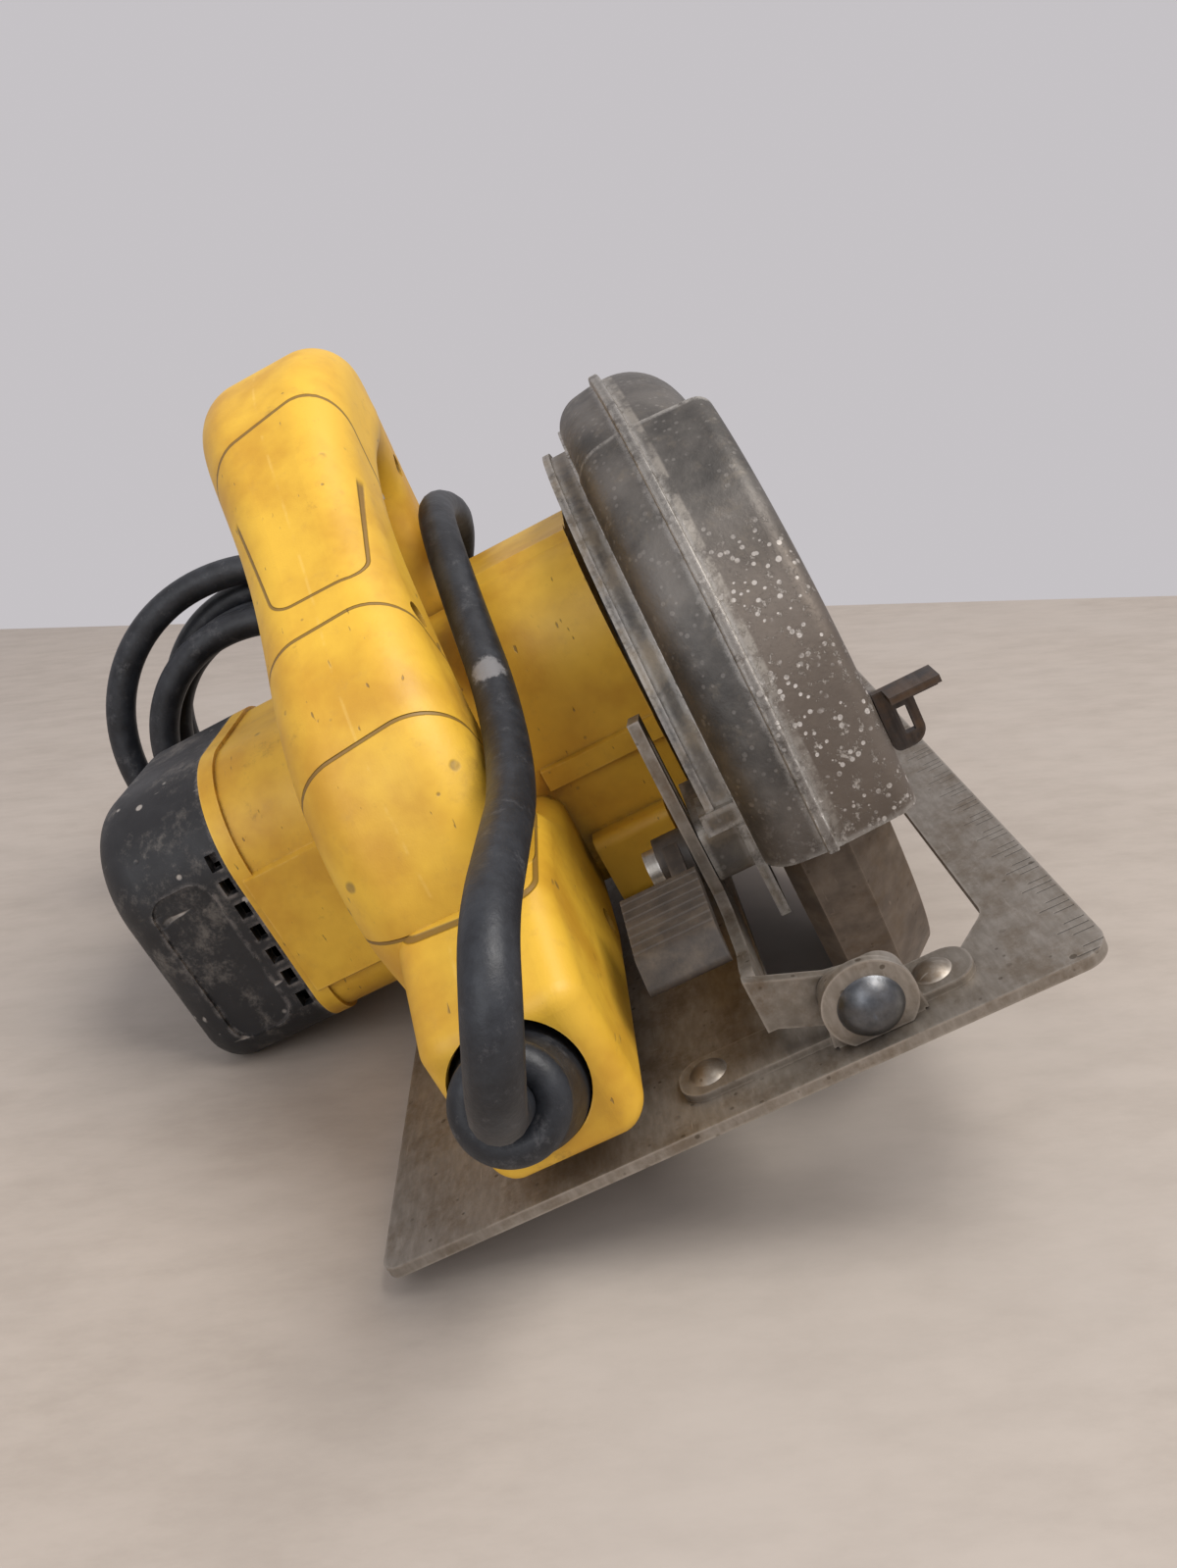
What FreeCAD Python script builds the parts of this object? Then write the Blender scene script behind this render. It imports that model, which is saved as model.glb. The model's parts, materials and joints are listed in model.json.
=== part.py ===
"""Circular saw with the motor on the left of the blade, resting on a table on its lower guard and end cap.

The saw is modelled in its own frame, in millimetres: X forward along the cut, Y to the left (motor side),
Z up, origin at the centre of the blade.  REST turns that frame to the way the saw lies on a table, with the
table at Z 0 and the origin under the middle of the saw.  The cord, its coil and its plug are laid out in the
table's frame.
"""
import FreeCAD, Part
import math
import os

V = FreeCAD.Vector

# Blade and guards, radii from the arbor axis
BLADE_R = 92.0
BLADE_T = 1.8
BLADE_TEETH = 24
ARBOR_R = 8.0
LOWER_R = 96.3
LEVER_RIVET_X = -47.0
LEVER_RIVETS = (4.5, -5.0)
HOOD_R = 101.5
HOOD_RIGHT = -22.0
HOOD_RIGHT_FRONT = -19.5
HOOD_LEFT = 15.5
HOOD_WALL = 2.3
BAND_R = 88.0
BAND_LEFT = 22.5
FRONT_ANGLE = -4.0
STEP_ANGLE = 116.0
REAR_ANGLE = 184.0
GUARD_SCREWS = [(-16, 37), (36, 38), (36, -14), (-17, -18)]

# Shoe; the window is (x0, x1, y0, y1)
SHOE_TOP = -35.6
SHOE_T = 3.0
SHOE_REAR = -136.6
SHOE_FRONT = 158.0
SHOE_RIGHT = -41.6
SHOE_LEFT = 130.0
WINDOW = (-116.0, 104.0, -24.0, 27.5)
FENCE_X = (142.0, 156.0)
FENCE_Y = 82.0

# Motor: its axis lies above and ahead of the arbor axis, one gear-pair centre distance away
GEAR_MODULE = 1.25
PINION_TEETH = 7
GEAR_TEETH = 34
MOTOR_X = 14.0
MOTOR_Z = math.sqrt((GEAR_MODULE * (PINION_TEETH + GEAR_TEETH) / 2) ** 2 - MOTOR_X ** 2)
CASE_Y0 = 16.0
CASE_Y1 = 31.0
HOUSING_Y0 = 25.6
HOUSING_STEP = 62.0
HOUSING_Y1 = 150.0
CAP_Y1 = 189.0
STATOR_R = 36.0
CORE_R = 23.5
FAN_R = 36.0
LOCK_Y = 23.0
LOCK_R = 3.5
CAP_SCREWS = [(-22, 45), (38, 45), (38, -8), (-27, -11)]

# Joint axes: (X, Z) for those along Y, (Y, Z) for the bevel axis along X
DEPTH_PIVOT = (126.0, -12.0)
BEVEL_AXIS = (8.0, -27.8)
DEPTH_LEVER_AXIS = (-77.0, -4.0)
DEPTH_RANGE = 8.0
QUADRANT_Y = 27.3
QUADRANT_T = 3.0
BEVEL_STUD_R = 30.0
BEVEL_STUD_ANGLE = 47.0

# Handle: the grip's sections run from the rear foot over the knob end to the front leg
HANDLE_Y = 83.0
HANDLE_WALL = 3.0
FOOT_Y = (59.0, 97.0)
GRIP = [
    # centre x, centre z, heading, depth, width
    (-88, -8, 92, 44, 42),
    (-90, 20, 90, 43, 44),
    (-87, 40, 74, 40, 44),
    (-77, 58, 52, 38, 42),
    (-57, 76, 42, 36, 39),
    (-33, 98, 40, 34, 37),
    (-7, 119, 37, 36, 42),
    (15, 127, 20, 38, 46),
    (34, 126, -20, 35, 43),
    (47, 113, -58, 31, 37),
    (51, 97, -84, 28, 33),
    (49, 80, -94, 27, 32),
    (47, 52, -94, 27, 32),
]
SCREW_POSTS = [(47, 104), (-62, 77), (-90, 36), (-66, -16)]
TRIGGER_CENTRE = (-16.0, 99.0)
TRIGGER_TILT = -40.0
TRIGGER_HINGE = (14.0, -8.5)
BOOT_BASE = V(-134, 81, -9)
BOOT_DIR = V(-0.89, -0.12, 0.43).normalize()
BOOT_L = 27.0

# Cord, coil and plug, in the table's frame
CORD_R = 5.25
CORD_EXIT_RUN = 14.0
CORD_ROUTE = [(-192, 2, 82), (-193, 1, 99), (-180, -2, 109), (-154, -5, 110), (-120, -6, 109), (-85, -2, 118),
              (-53, 8, 134), (-24, 15, 150), (12, 18, 152), (43, 13, 144), (65, 16, 122), (72, 28, 95)]
TAIL_ROUTE = [(84, 99, 6.5), (100, 110, 10.4), (118, 114.5, 10.4)]
COIL_CENTRE = (72.8, 88.0, 66.6)
COIL_R = (30.0, 66.0)
COIL_WIDTH = 33.4

# Clearances
RUN = 0.05
GAP = 0.3

# How the saw lies on the table, and where the table's origin is
REST_ROLL = -22.867
REST_SHIFT = V(-10.0, -70.44, 91.104)
REST = FreeCAD.Placement(REST_SHIFT, FreeCAD.Rotation(V(1, 0, 0), REST_ROLL))

NODES = {}


# ---------------------------------------------------------------- shape helpers

def box(x0, x1, y0, y1, z0, z1):
    """Box between two corners."""
    return Part.makeBox(x1 - x0, y1 - y0, z1 - z0, V(x0, y0, z0))


def ycyl(x, z, r, y0, y1):
    """Cylinder along Y."""
    return Part.makeCylinder(r, y1 - y0, V(x, y0, z), V(0, 1, 0))


def xcyl(y, z, r, x0, x1):
    """Cylinder along X."""
    return Part.makeCylinder(r, x1 - x0, V(x0, y, z), V(1, 0, 0))


def zcyl(x, y, r, z0, z1):
    """Cylinder along Z."""
    return Part.makeCylinder(r, z1 - z0, V(x, y, z0), V(0, 0, 1))


def yring(x, z, r_in, r_out, y0, y1):
    """Ring along Y."""
    return ycyl(x, z, r_out, y0, y1).cut(ycyl(x, z, r_in, y0 - 1, y1 + 1))


def outline(corners, place):
    """Closed wire through corners (u, v, radius); place(u, v) gives the point in space."""
    count = len(corners)
    arcs = []
    for i, (u, v, r) in enumerate(corners):
        before = corners[i - 1]
        after = corners[(i + 1) % count]
        here = V(u, v, 0)
        a = V(before[0] - u, before[1] - v, 0).normalize()
        b = V(after[0] - u, after[1] - v, 0).normalize()
        if r == 0:
            arcs.append((here, None, here))
            continue
        half = a.getAngle(b) / 2
        reach = r / math.tan(half)
        middle = here + (a + b).normalize() * (r / math.sin(half) - r)
        arcs.append((here + a * reach, middle, here + b * reach))
    edges = []
    for i, (start, middle, end) in enumerate(arcs):
        if middle is not None:
            edges.append(Part.Arc(*[place(p.x, p.y) for p in (start, middle, end)]).toShape())
        following = arcs[(i + 1) % count][0]
        if end.distanceToPoint(following) > 1e-6:
            edges.append(Part.LineSegment(place(end.x, end.y), place(following.x, following.y)).toShape())
    return Part.Wire(edges)


def plate_y(corners, y0, y1):
    """Outline in X and Z, thickened along Y."""
    return Part.Face(outline(corners, lambda u, v: V(u, y0, v))).extrude(V(0, y1 - y0, 0))


def plate_x(corners, x0, x1):
    """Outline in Y and Z, thickened along X."""
    return Part.Face(outline(corners, lambda u, v: V(x0, u, v))).extrude(V(x1 - x0, 0, 0))


def plate_z(corners, z0, z1):
    """Outline in X and Y, thickened along Z."""
    return Part.Face(outline(corners, lambda u, v: V(u, v, z0))).extrude(V(0, 0, z1 - z0))


def sweep_y(corners, start, span):
    """Outline in radius and Y, revolved about the arbor axis from angle start (from +X towards +Z)."""
    face = Part.Face(outline(corners, lambda u, v: V(u, v, 0)))
    face = face.rotated(V(0, 0, 0), V(0, -1, 0), start)
    return face.revolve(V(0, 0, 0), V(0, -1, 0), span)


def fuse(first, *others):
    """One solid from several that touch or overlap."""
    return first.multiFuse(list(others)).removeSplitter()


def group(*shapes):
    """Several separate solids in one node."""
    return Part.makeCompound(list(shapes))


def polar(r, degrees):
    """Point in X and Z at a radius and an angle from the arbor axis."""
    return r * math.cos(math.radians(degrees)), r * math.sin(math.radians(degrees))


def coil_spring(radius, wire, turns, height, base, direction):
    """Round-wire helical spring."""
    helix = Part.makeHelix(height / turns, height, radius)
    profile = Part.Wire(Part.makeCircle(wire / 2, V(radius, 0, 0), V(0, 1, 0)))
    spring = Part.Wire(helix).makePipeShell([profile], True, True)
    spring.Placement = FreeCAD.Placement(base, FreeCAD.Rotation(V(0, 0, 1), direction))
    return spring


def rounded(shape, radius, pick):
    """Fillet the edges that pick() chooses."""
    return shape.makeFillet(radius, [edge for edge in shape.Edges if pick(edge.BoundBox)])


def screw(head_r, head_t, shank_r, shank_l, base, direction):
    """Pan-head screw with a cross recess; base is under the head and the shank runs along direction."""
    head = Part.makeCylinder(head_r, head_t, V(0, 0, -head_t))
    head = head.makeFillet(head_t * 0.45, [head.Edges[2]])
    for turn in (0, 90):
        slot = Part.makeBox(head_r * 1.2, head_r * 0.3, head_t, V(-head_r * 0.6, -head_r * 0.15,
                                                                  -head_t - 0.5))
        head = head.cut(slot.rotated(V(0, 0, 0), V(0, 0, 1), turn))
    whole = fuse(head, Part.makeCylinder(shank_r, shank_l))
    whole.Placement = FreeCAD.Placement(base, FreeCAD.Rotation(V(0, 0, 1), direction))
    return whole


def rivet(head_r, head_t, shank_r, shank_l, base, direction):
    """Domed rivet; base is under the head and the shank runs along direction."""
    ball_r = (head_r ** 2 + head_t ** 2) / (2 * head_t)
    ball = Part.makeSphere(ball_r, V(0, 0, ball_r - head_t))
    dome = ball.common(Part.makeCylinder(head_r * 1.2, head_t + 1, V(0, 0, -head_t - 1)))
    whole = fuse(dome, Part.makeCylinder(shank_r, shank_l))
    whole.Placement = FreeCAD.Placement(base, FreeCAD.Rotation(V(0, 0, 1), direction))
    return whole


# ---------------------------------------------------------------- motor housing and end cap

def housing_outline(grow=0.0):
    """Outer motor section in X and Z: flat rear face, broad round shoulders."""
    left, right = -38.0 - grow, 54.0 + grow
    low, high = -22.0 - grow, 60.0 + grow
    return [(left, low, 12 + grow), (left, high, 30 + grow), (right, high, 26 + grow), (right, low,
                                                                                        20 + grow)]


def fan_outline(grow=0.0):
    """Inner, taller section round the fan and the gear case."""
    left, right = -38.0 - grow, 56.0 + grow
    low, high = -22.0 - grow, 70.0 + grow
    return [(left, low, 12 + grow), (left, high, 30 + grow), (right, high, 26 + grow), (right, low,
                                                                                        20 + grow)]


def motor_housing():
    body = fuse(plate_y(housing_outline(), HOUSING_STEP - 1, HOUSING_Y1),
                plate_y(fan_outline(), HOUSING_Y0, HOUSING_STEP))
    ribs = [plate_y([(-40, 14, 0), (-40, 20, 0), (-30, 22, 0), (-30, 12, 0)], HOUSING_Y0, 60)]
    ribs.append(plate_y([(-37, 42, 0), (-33.5, 50, 0), (-22, 52, 0), (-22, 42, 0)], HOUSING_Y0, 60))
    ribs.append(plate_y([(-19, 66, 0), (-13, 71.5, 0), (-4, 71.5, 0), (-4, 66, 0)], HOUSING_Y0, 61))
    ribs.append(plate_y([(-46, -24, 4), (-46, -3, 3), (-34, -3, 0), (-34, -24, 0)], CASE_Y1 + 3, 56))
    ribs.append(plate_y([(-40, -9, 0), (-40, 30, 0), (-36, 32, 0), (-36, -11, 0)], 121, HOUSING_Y1 - 2))
    ribs.append(plate_y(housing_outline(1.2), HOUSING_Y1 - 5, HOUSING_Y1))
    body = fuse(body, *ribs)
    body = body.cut(ycyl(MOTOR_X, MOTOR_Z, STATOR_R + 0.2, 60, HOUSING_Y1 + 1))
    body = body.cut(ycyl(MOTOR_X, MOTOR_Z, FAN_R + 1.5, CASE_Y1 + 10.5, 61))
    body = body.cut(ycyl(MOTOR_X, MOTOR_Z, 17.0, HOUSING_Y0 - 1, CASE_Y1 + 8))
    body = body.cut(ycyl(MOTOR_X, MOTOR_Z, 14.0, CASE_Y1 + 7, CASE_Y1 + 12))
    body = body.cut(plate_y(case_outline(), HOUSING_Y0 - 1, CASE_Y1))
    body = body.cut(xcyl(LOCK_Y, 0, 6.4, 40, 60))
    return body.cut(ycyl(0, 0, 12.0, HOUSING_Y0 - 1, CASE_Y1 + 6))


def motor_end_cap():
    shell = plate_y(housing_outline(1.2), HOUSING_Y1, CAP_Y1)
    shell = rounded(shell, 12, lambda b: b.YMin > CAP_Y1 - 0.1)
    shell = shell.cut(plate_y(housing_outline(-3.0), HOUSING_Y1 - 1, CAP_Y1 - 9))
    bearing_seat = yring(MOTOR_X, MOTOR_Z, 11.0, 15.0, 164, CAP_Y1 - 8.5)
    bosses = [ycyl(x, z, 4.6, HOUSING_Y1, CAP_Y1 - 8.5) for x, z in CAP_SCREWS]
    shell = fuse(shell, bearing_seat, *bosses)
    for x, z in CAP_SCREWS:
        shell = shell.cut(ycyl(x, z, 2.0, HOUSING_Y1 - 1, CAP_Y1 - 2.9))
        shell = shell.cut(ycyl(x, z, 3.8, CAP_Y1 - 3, CAP_Y1 + 1))
    for i in range(7):
        z = -12 + 8.0 * i
        shell = shell.cut(box(-42, -34, HOUSING_Y1 + 1, HOUSING_Y1 + 4.5, z, z + 5))
        shell = shell.cut(box(50, 60, HOUSING_Y1 + 1, HOUSING_Y1 + 4.5, z, z + 5))
    end_panel = plate_y([(-16, 2, 8), (-16, 40, 8), (32, 40, 8), (32, 2, 8)], CAP_Y1 - 1.5, CAP_Y1 + 1)
    rear_panel = plate_x([(158, -14, 6), (158, 36, 6), (177, 36, 6), (177, -14, 6)], -42, -38.2)
    return shell.cut(end_panel).cut(rear_panel)


# ---------------------------------------------------------------- handle

def grip_loft(inset):
    """Bow-shaped grip from the rear foot over the knob end to the front leg."""
    wires = []
    for x, z, heading, depth, width in GRIP:
        along = V(math.cos(math.radians(heading)), 0, math.sin(math.radians(heading)))
        across = V(along.z, 0, -along.x)
        half_d = depth / 2 - inset
        half_w = width / 2 - inset
        r = min(half_d, half_w) * 0.72
        corners = [(-half_d, -half_w, r), (half_d, -half_w, r), (half_d, half_w, r), (-half_d, half_w, r)]
        centre = V(x, HANDLE_Y, z)
        wires.append(outline(corners, lambda u, v, c=centre, a=across: c + a * u + V(0, v, 0)))
    return Part.makeLoft(wires, True, False)


def foot_block(inset):
    """Rear foot that carries the cord and joins the grip to the motor housing."""
    corners = [(-138 + inset, -28.5 + inset, 3), (-138 + inset, 9 - inset, 6), (-112 + inset, 24 - inset, 10),
               (-70 - inset, 24 - inset, 8), (-55, 14 - inset, 6), (-30, 14 - inset, 0), (-30,
                                                                                          -20 + inset, 0),
               (-60, -28.5 + inset, 6)]
    block = plate_y(corners, FOOT_Y[0] + inset, FOOT_Y[1] - inset)
    if inset:
        return block
    return rounded(block, 7, lambda b: b.YLength < 0.01 and b.XMax < -32
                   and min(abs(b.YMin - y) for y in FOOT_Y) < 0.01)


def trigger_frame():
    """Trigger's own frame: X runs along the grip and Z into it."""
    centre = V(TRIGGER_CENTRE[0], HANDLE_Y, TRIGGER_CENTRE[1])
    return FreeCAD.Placement(centre, FreeCAD.Rotation(V(0, 1, 0), TRIGGER_TILT))


def trigger_pin(radius, half):
    """Hinge pin of the trigger, or the bore for it."""
    pin = Part.makeCylinder(radius, 2 * half, V(TRIGGER_HINGE[0], -half, TRIGGER_HINGE[1]), V(0, 1, 0))
    pin.Placement = trigger_frame()
    return pin


def handle_solids():
    """Left and right handle shells, hollow, with the boot socket and the trigger opening."""
    case = fuse(plate_y(housing_outline(), HOUSING_STEP, 200), plate_y(fan_outline(), 0, HOUSING_STEP))
    outer = fuse(grip_loft(0), foot_block(0)).cut(case)
    inner = fuse(grip_loft(HANDLE_WALL), foot_block(HANDLE_WALL))
    inner = inner.cut(plate_y(fan_outline(HANDLE_WALL), 0, 200))
    shell = outer.cut(inner)
    shell = shell.cut(Part.makeCylinder(15.2, 40, BOOT_BASE - BOOT_DIR * 12, BOOT_DIR))
    posts = [ycyl(x, z, 4.2, HANDLE_Y - 30, HANDLE_Y + 30).common(outer) for x, z in SCREW_POSTS]
    shell = fuse(shell, *posts)
    slot = Part.makeBox(56, 15, 24, V(-34, -7.5, -22))
    slot.Placement = trigger_frame()
    shell = shell.cut(slot).cut(trigger_pin(1.55 + RUN, 17))
    for x, z in SCREW_POSTS:
        shell = shell.cut(ycyl(x, z, 1.9, HANDLE_Y - 15, HANDLE_Y + 12))
        shell = shell.cut(ycyl(x, z, 3.6, HANDLE_Y - 40, HANDLE_Y - 14))
    left = shell.common(box(-200, 200, HANDLE_Y, HANDLE_Y + 60, -60, 200))
    right = shell.common(box(-200, 200, HANDLE_Y - 60, HANDLE_Y, -60, 200))
    return left, right


def trigger():
    """Finger trigger, hinged at its upper end, standing out of the grip's underside."""
    half = 6.9
    corners = [(-30, -4, 2), (-31.5, -17, 4), (-14, -14.5, 14), (13, -19, 4), (19.5, -12, 2), (18, -4, 2)]
    face = Part.Face(outline(corners, lambda u, v: V(u, -half, v)))
    body = face.extrude(V(0, 2 * half, 0))
    body = body.cut(ycyl(TRIGGER_HINGE[0], TRIGGER_HINGE[1], 1.55 + RUN, -10, 10))
    body.Placement = trigger_frame()
    return body


def controls():
    here = trigger_frame()
    switch = Part.makeBox(36, 22, 15, V(-22, -11, 6))
    switch.Placement = here
    pin = trigger_pin(1.55, 16)
    spring = coil_spring(2.4, 0.7, 3, 3.2, V(-8, 0, 2.2), V(0, 0, 1))
    spring.Placement = here.multiply(spring.Placement)
    NODES["trigger"] = trigger()
    NODES["trigger_pin"] = pin
    NODES["trigger_switch"] = switch
    NODES["trigger_spring"] = spring
    clamp = box(-116, -108, 68, 90, -24, -17)
    NODES["cord_clamp"] = clamp.cut(xcyl(79, -15, 4.5, -120, -100))
    left, right = handle_solids()
    NODES["handle_shell_left"] = left
    NODES["handle_shell_right"] = right
    screws = [screw(3.3, 2.4, 1.8, 24, V(x, HANDLE_Y - 14, z), V(0, 1, 0)) for x, z in SCREW_POSTS]
    NODES["handle_screws"] = group(*screws)


# ---------------------------------------------------------------- gear case and drive

def case_outline():
    """Gear case's section in X and Z, round the spindle gear and the pinion."""
    return [(-27, -26, 24), (-27, 48, 26), (46, 48, 26), (46, -26, 24)]


def gear_case():
    body = plate_y(case_outline(), CASE_Y0, CASE_Y1)
    body = body.cut(ycyl(0, 0, 23.0, CASE_Y0 + 1.5, CASE_Y1 - 2.5))
    body = body.cut(ycyl(MOTOR_X, MOTOR_Z, 7.0, CASE_Y0 + 1.5, CASE_Y1))
    nose = ycyl(0, 0, 20.0, 8.0, CASE_Y0 + 1)
    bearing_boss = ycyl(MOTOR_X, MOTOR_Z, 17.0, CASE_Y1 - 1, CASE_Y1 + 8)
    sleeve_boss = ycyl(0, 0, 12.0, CASE_Y1 - 1, CASE_Y1 + 6)
    lock_boss = xcyl(LOCK_Y, 0, 6.3, 44, 52)
    body = fuse(body, nose, bearing_boss, sleeve_boss, lock_boss)
    body = body.cut(ycyl(0, 0, 16.0, 8.5, 15.5))
    body = body.cut(ycyl(0, 0, 12.0, 7.0, CASE_Y0 + 3))
    body = body.cut(ycyl(0, 0, 23.0, CASE_Y0 + 1.5, CASE_Y1 - 2.5))
    body = body.cut(ycyl(MOTOR_X, MOTOR_Z, 7.0, CASE_Y0 + 1.5, CASE_Y1 + 1))
    body = body.cut(ycyl(0, 0, 9.0, 28.0, CASE_Y1 + 5))
    body = body.cut(ycyl(MOTOR_X, MOTOR_Z, 14.0, CASE_Y1, CASE_Y1 + 9))
    body = body.cut(xcyl(LOCK_Y, 0, LOCK_R + RUN, 21, 60))
    body = body.cut(xcyl(LOCK_Y, 0, 5.3, 47, 60))
    for x, z in GUARD_SCREWS:
        body = body.cut(ycyl(x, z, 2.15, CASE_Y0 - 1, 22.4))
    return body


def toothed_wheel(teeth, pitch_r, phase, x, z, y0, y1):
    """Spur gear with straight-flanked teeth; phase is the angle of one tooth's middle."""
    corners = []
    step = 360.0 / teeth
    root = (pitch_r - 1.2, 0.25 * step)
    tip = (pitch_r + 0.7, 0.09 * step)
    for i in range(teeth):
        middle = phase + i * step
        for radius, half in (root, tip):
            corners.append((radius, middle - half))
        for radius, half in (tip, root):
            corners.append((radius, middle + half))
    points = [(x + r * math.cos(math.radians(a)), z + r * math.sin(math.radians(a)), 0) for r, a in corners]
    return plate_y(points, y0, y1)


def drive():
    pinion_r = GEAR_MODULE * PINION_TEETH / 2
    gear_r = GEAR_MODULE * GEAR_TEETH / 2
    mesh_angle = math.degrees(math.atan2(MOTOR_Z, MOTOR_X))
    x, z = MOTOR_X, MOTOR_Z

    pinion = toothed_wheel(PINION_TEETH, pinion_r, mesh_angle + 180, x, z, 18, 28)
    shaft = fuse(pinion, ycyl(x, z, 3.1, 17.8, 28), ycyl(x, z, 6.0, 28, 165), ycyl(x, z, 4.0, 165, 176))
    NODES["armature_shaft"] = shaft
    core = yring(x, z, 6.0, CORE_R, 72, 122)
    for i in range(12):
        angle = math.radians(30 * i)
        centre = (x + (CORE_R - 0.6) * math.cos(angle), z + (CORE_R - 0.6) * math.sin(angle))
        core = core.cut(ycyl(centre[0], centre[1], 1.6, 71, 123))
    NODES["armature_core"] = core
    NODES["armature_windings"] = group(yring(x, z, 6.0, 20.5, 62, 72), yring(x, z, 6.0, 19.5, 122, 133))
    commutator = yring(x, z, 6.0, 13.0, 136, 154)
    for i in range(24):
        slot = box(x + 11.5, x + 14, 135, 153, z - 0.3, z + 0.3)
        commutator = commutator.cut(slot.rotated(V(x, 0, z), V(0, 1, 0), 15 * i))
    NODES["commutator"] = commutator
    fan = fuse(yring(x, z, 6.0, 12.0, 43, 56), yring(x, z, 6.0, FAN_R, 43, 45))
    blades = []
    for i in range(14):
        blade = box(x + 14, x + FAN_R - 0.8, 44.5, 55, z - 0.8, z + 0.8)
        blades.append(blade.rotated(V(x + 14, 0, z), V(0, 1, 0), 18).rotated(V(x, 0, z), V(0, 1, 0),
                                                                             360 / 14 * i))
    NODES["cooling_fan"] = fuse(fan, *blades)
    NODES["fan_baffle"] = yring(x, z, 26.0, FAN_R + 1.5, 57, 59)
    NODES["front_armature_bearing"] = yring(x, z, 6.0 + RUN, 14.0, 31.0, 39.0)
    NODES["rear_armature_bearing"] = yring(x, z, 4.0 + RUN, 11.0, 166.0, 173.0)

    stack = yring(x, z, CORE_R + 0.8, STATOR_R + 0.2, 70, 124)
    coil_ring = yring(x, z, CORE_R + 0.8, 31.0, 62, 132)
    coils = []
    for side in (1, -1):
        window = box(x - 40, x + 40, 60, 134, z + side * 15 - 6, z + side * 15 + 6)
        winding = coil_ring.common(window)
        ends = yring(x, z, CORE_R + 0.8, 31.0, 62, 70).fuse(yring(x, z, CORE_R + 0.8, 31.0, 124, 132))
        half = box(x - 40, x + 40, 60, 134, z + side * 20 - 11, z + side * 20 + 11)
        coils.append(fuse(winding, ends.common(half)))
    stack = stack.cut(coils[0]).cut(coils[1])
    NODES["field_stack"] = stack
    NODES["field_coils"] = group(*coils)
    NODES["carbon_brushes"] = group(
        box(x - 4, x + 4, 140, 147, z + 13 + GAP, z + 26), box(x - 4, x + 4, 140, 147, z - 26, z - 13 - GAP))
    holder = box(x - 6, x + 6, 138, 149, 16, 30).cut(box(x - 4, x + 4, 140, 147, 15, 31))
    NODES["brush_holders"] = group(holder.translated(V(0, 0, z)),
                                   holder.rotated(V(x, 0, 0), V(0, 1, 0), 180).translated(V(0, 0, z)))

    gear_phase = mesh_angle + 180.0 / GEAR_TEETH
    gear = toothed_wheel(GEAR_TEETH, gear_r, gear_phase, 0, 0, 18.5, 27.5)
    NODES["spindle_gear"] = gear.cut(ycyl(0, 0, 9.0, 18, 28))
    spindle = fuse(ycyl(0, 0, 7.5, 5.0, 17.0), ycyl(0, 0, 9.0, 17.0, 27.8), ycyl(0, 0, 6.0, 27.8, 35.0),
                   ycyl(0, 0, ARBOR_R - 0.02, -1.5, 5.0))
    spindle = spindle.cut(ycyl(0, 0, 4.0, -2, 18))
    spindle = spindle.cut(xcyl(LOCK_Y, 0, 2.2, 5.5, 10))
    NODES["arbor_spindle"] = spindle
    NODES["spindle_bearing"] = yring(0, 0, 7.5 + RUN, 16.0, 8.5, 15.5)
    NODES["spindle_sleeve"] = yring(0, 0, 6.0 + RUN, 9.0, 29.0, 35.0)
    NODES["inner_flange"] = yring(0, 0, ARBOR_R, 19.0, BLADE_T / 2, 4.6)
    NODES["outer_flange"] = yring(0, 0, 4.2, 19.0, -4.6, -BLADE_T / 2 - 0.6).fuse(
        yring(0, 0, ARBOR_R, 19.0, -BLADE_T / 2 - 0.6, -BLADE_T / 2))
    head = plate_y([(8 * math.cos(math.radians(60 * i)), 8 * math.sin(math.radians(60 * i)), 0)
                    for i in range(6)], -11.5, -6.6)
    NODES["blade_bolt"] = fuse(head, ycyl(0, 0, 10.5, -6.6, -4.6), ycyl(0, 0, 4.0, -4.6, 16))
    NODES["saw_blade"] = saw_blade()
    NODES["gear_case"] = gear_case()
    NODES["spindle_lock_button"] = fuse(xcyl(LOCK_Y, 0, LOCK_R, 26, 58), xcyl(LOCK_Y, 0, 6.0, 56.5, 60.5))
    NODES["spindle_lock_spring"] = coil_spring(4.4, 0.6, 3, 4.2, V(47.4, LOCK_Y, 0), V(1, 0, 0))


def saw_blade():
    """Steel disc with hooked carbide-tipped teeth, expansion slots and a round bore."""
    points = []
    step = 360.0 / BLADE_TEETH
    for i in range(BLADE_TEETH):
        a = -i * step
        for radius, offset in ((BLADE_R, 0.0), (BLADE_R - 1.2, -2.6), (BLADE_R - 4.5, -9.5),
                               (BLADE_R - 9.0, -11.5), (BLADE_R - 10.0, -14.0)):
            px, pz = polar(radius, a + offset)
            points.append((px, pz, 0))
    blade = plate_y(points, -BLADE_T / 2, BLADE_T / 2)
    blade = blade.cut(ycyl(0, 0, ARBOR_R, -2, 2))
    for i in range(4):
        slot = box(66, 76, -2, 2, -0.6, 0.6).fuse(ycyl(66, 0, 1.8, -2, 2)).fuse(ycyl(76, 0, 1.2, -2, 2))
        blade = blade.cut(slot.rotated(V(0, 0, 0), V(0, 1, 0), 45 + 90 * i))
    tips = []
    for i in range(BLADE_TEETH):
        tip = box(BLADE_R - 3.6, BLADE_R - 0.2, -1.2, 1.2, -1.4, -0.1)
        tips.append(tip.rotated(V(0, 0, 0), V(0, 1, 0), i * step))
    return fuse(blade, *tips)


# ---------------------------------------------------------------- guards

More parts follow.
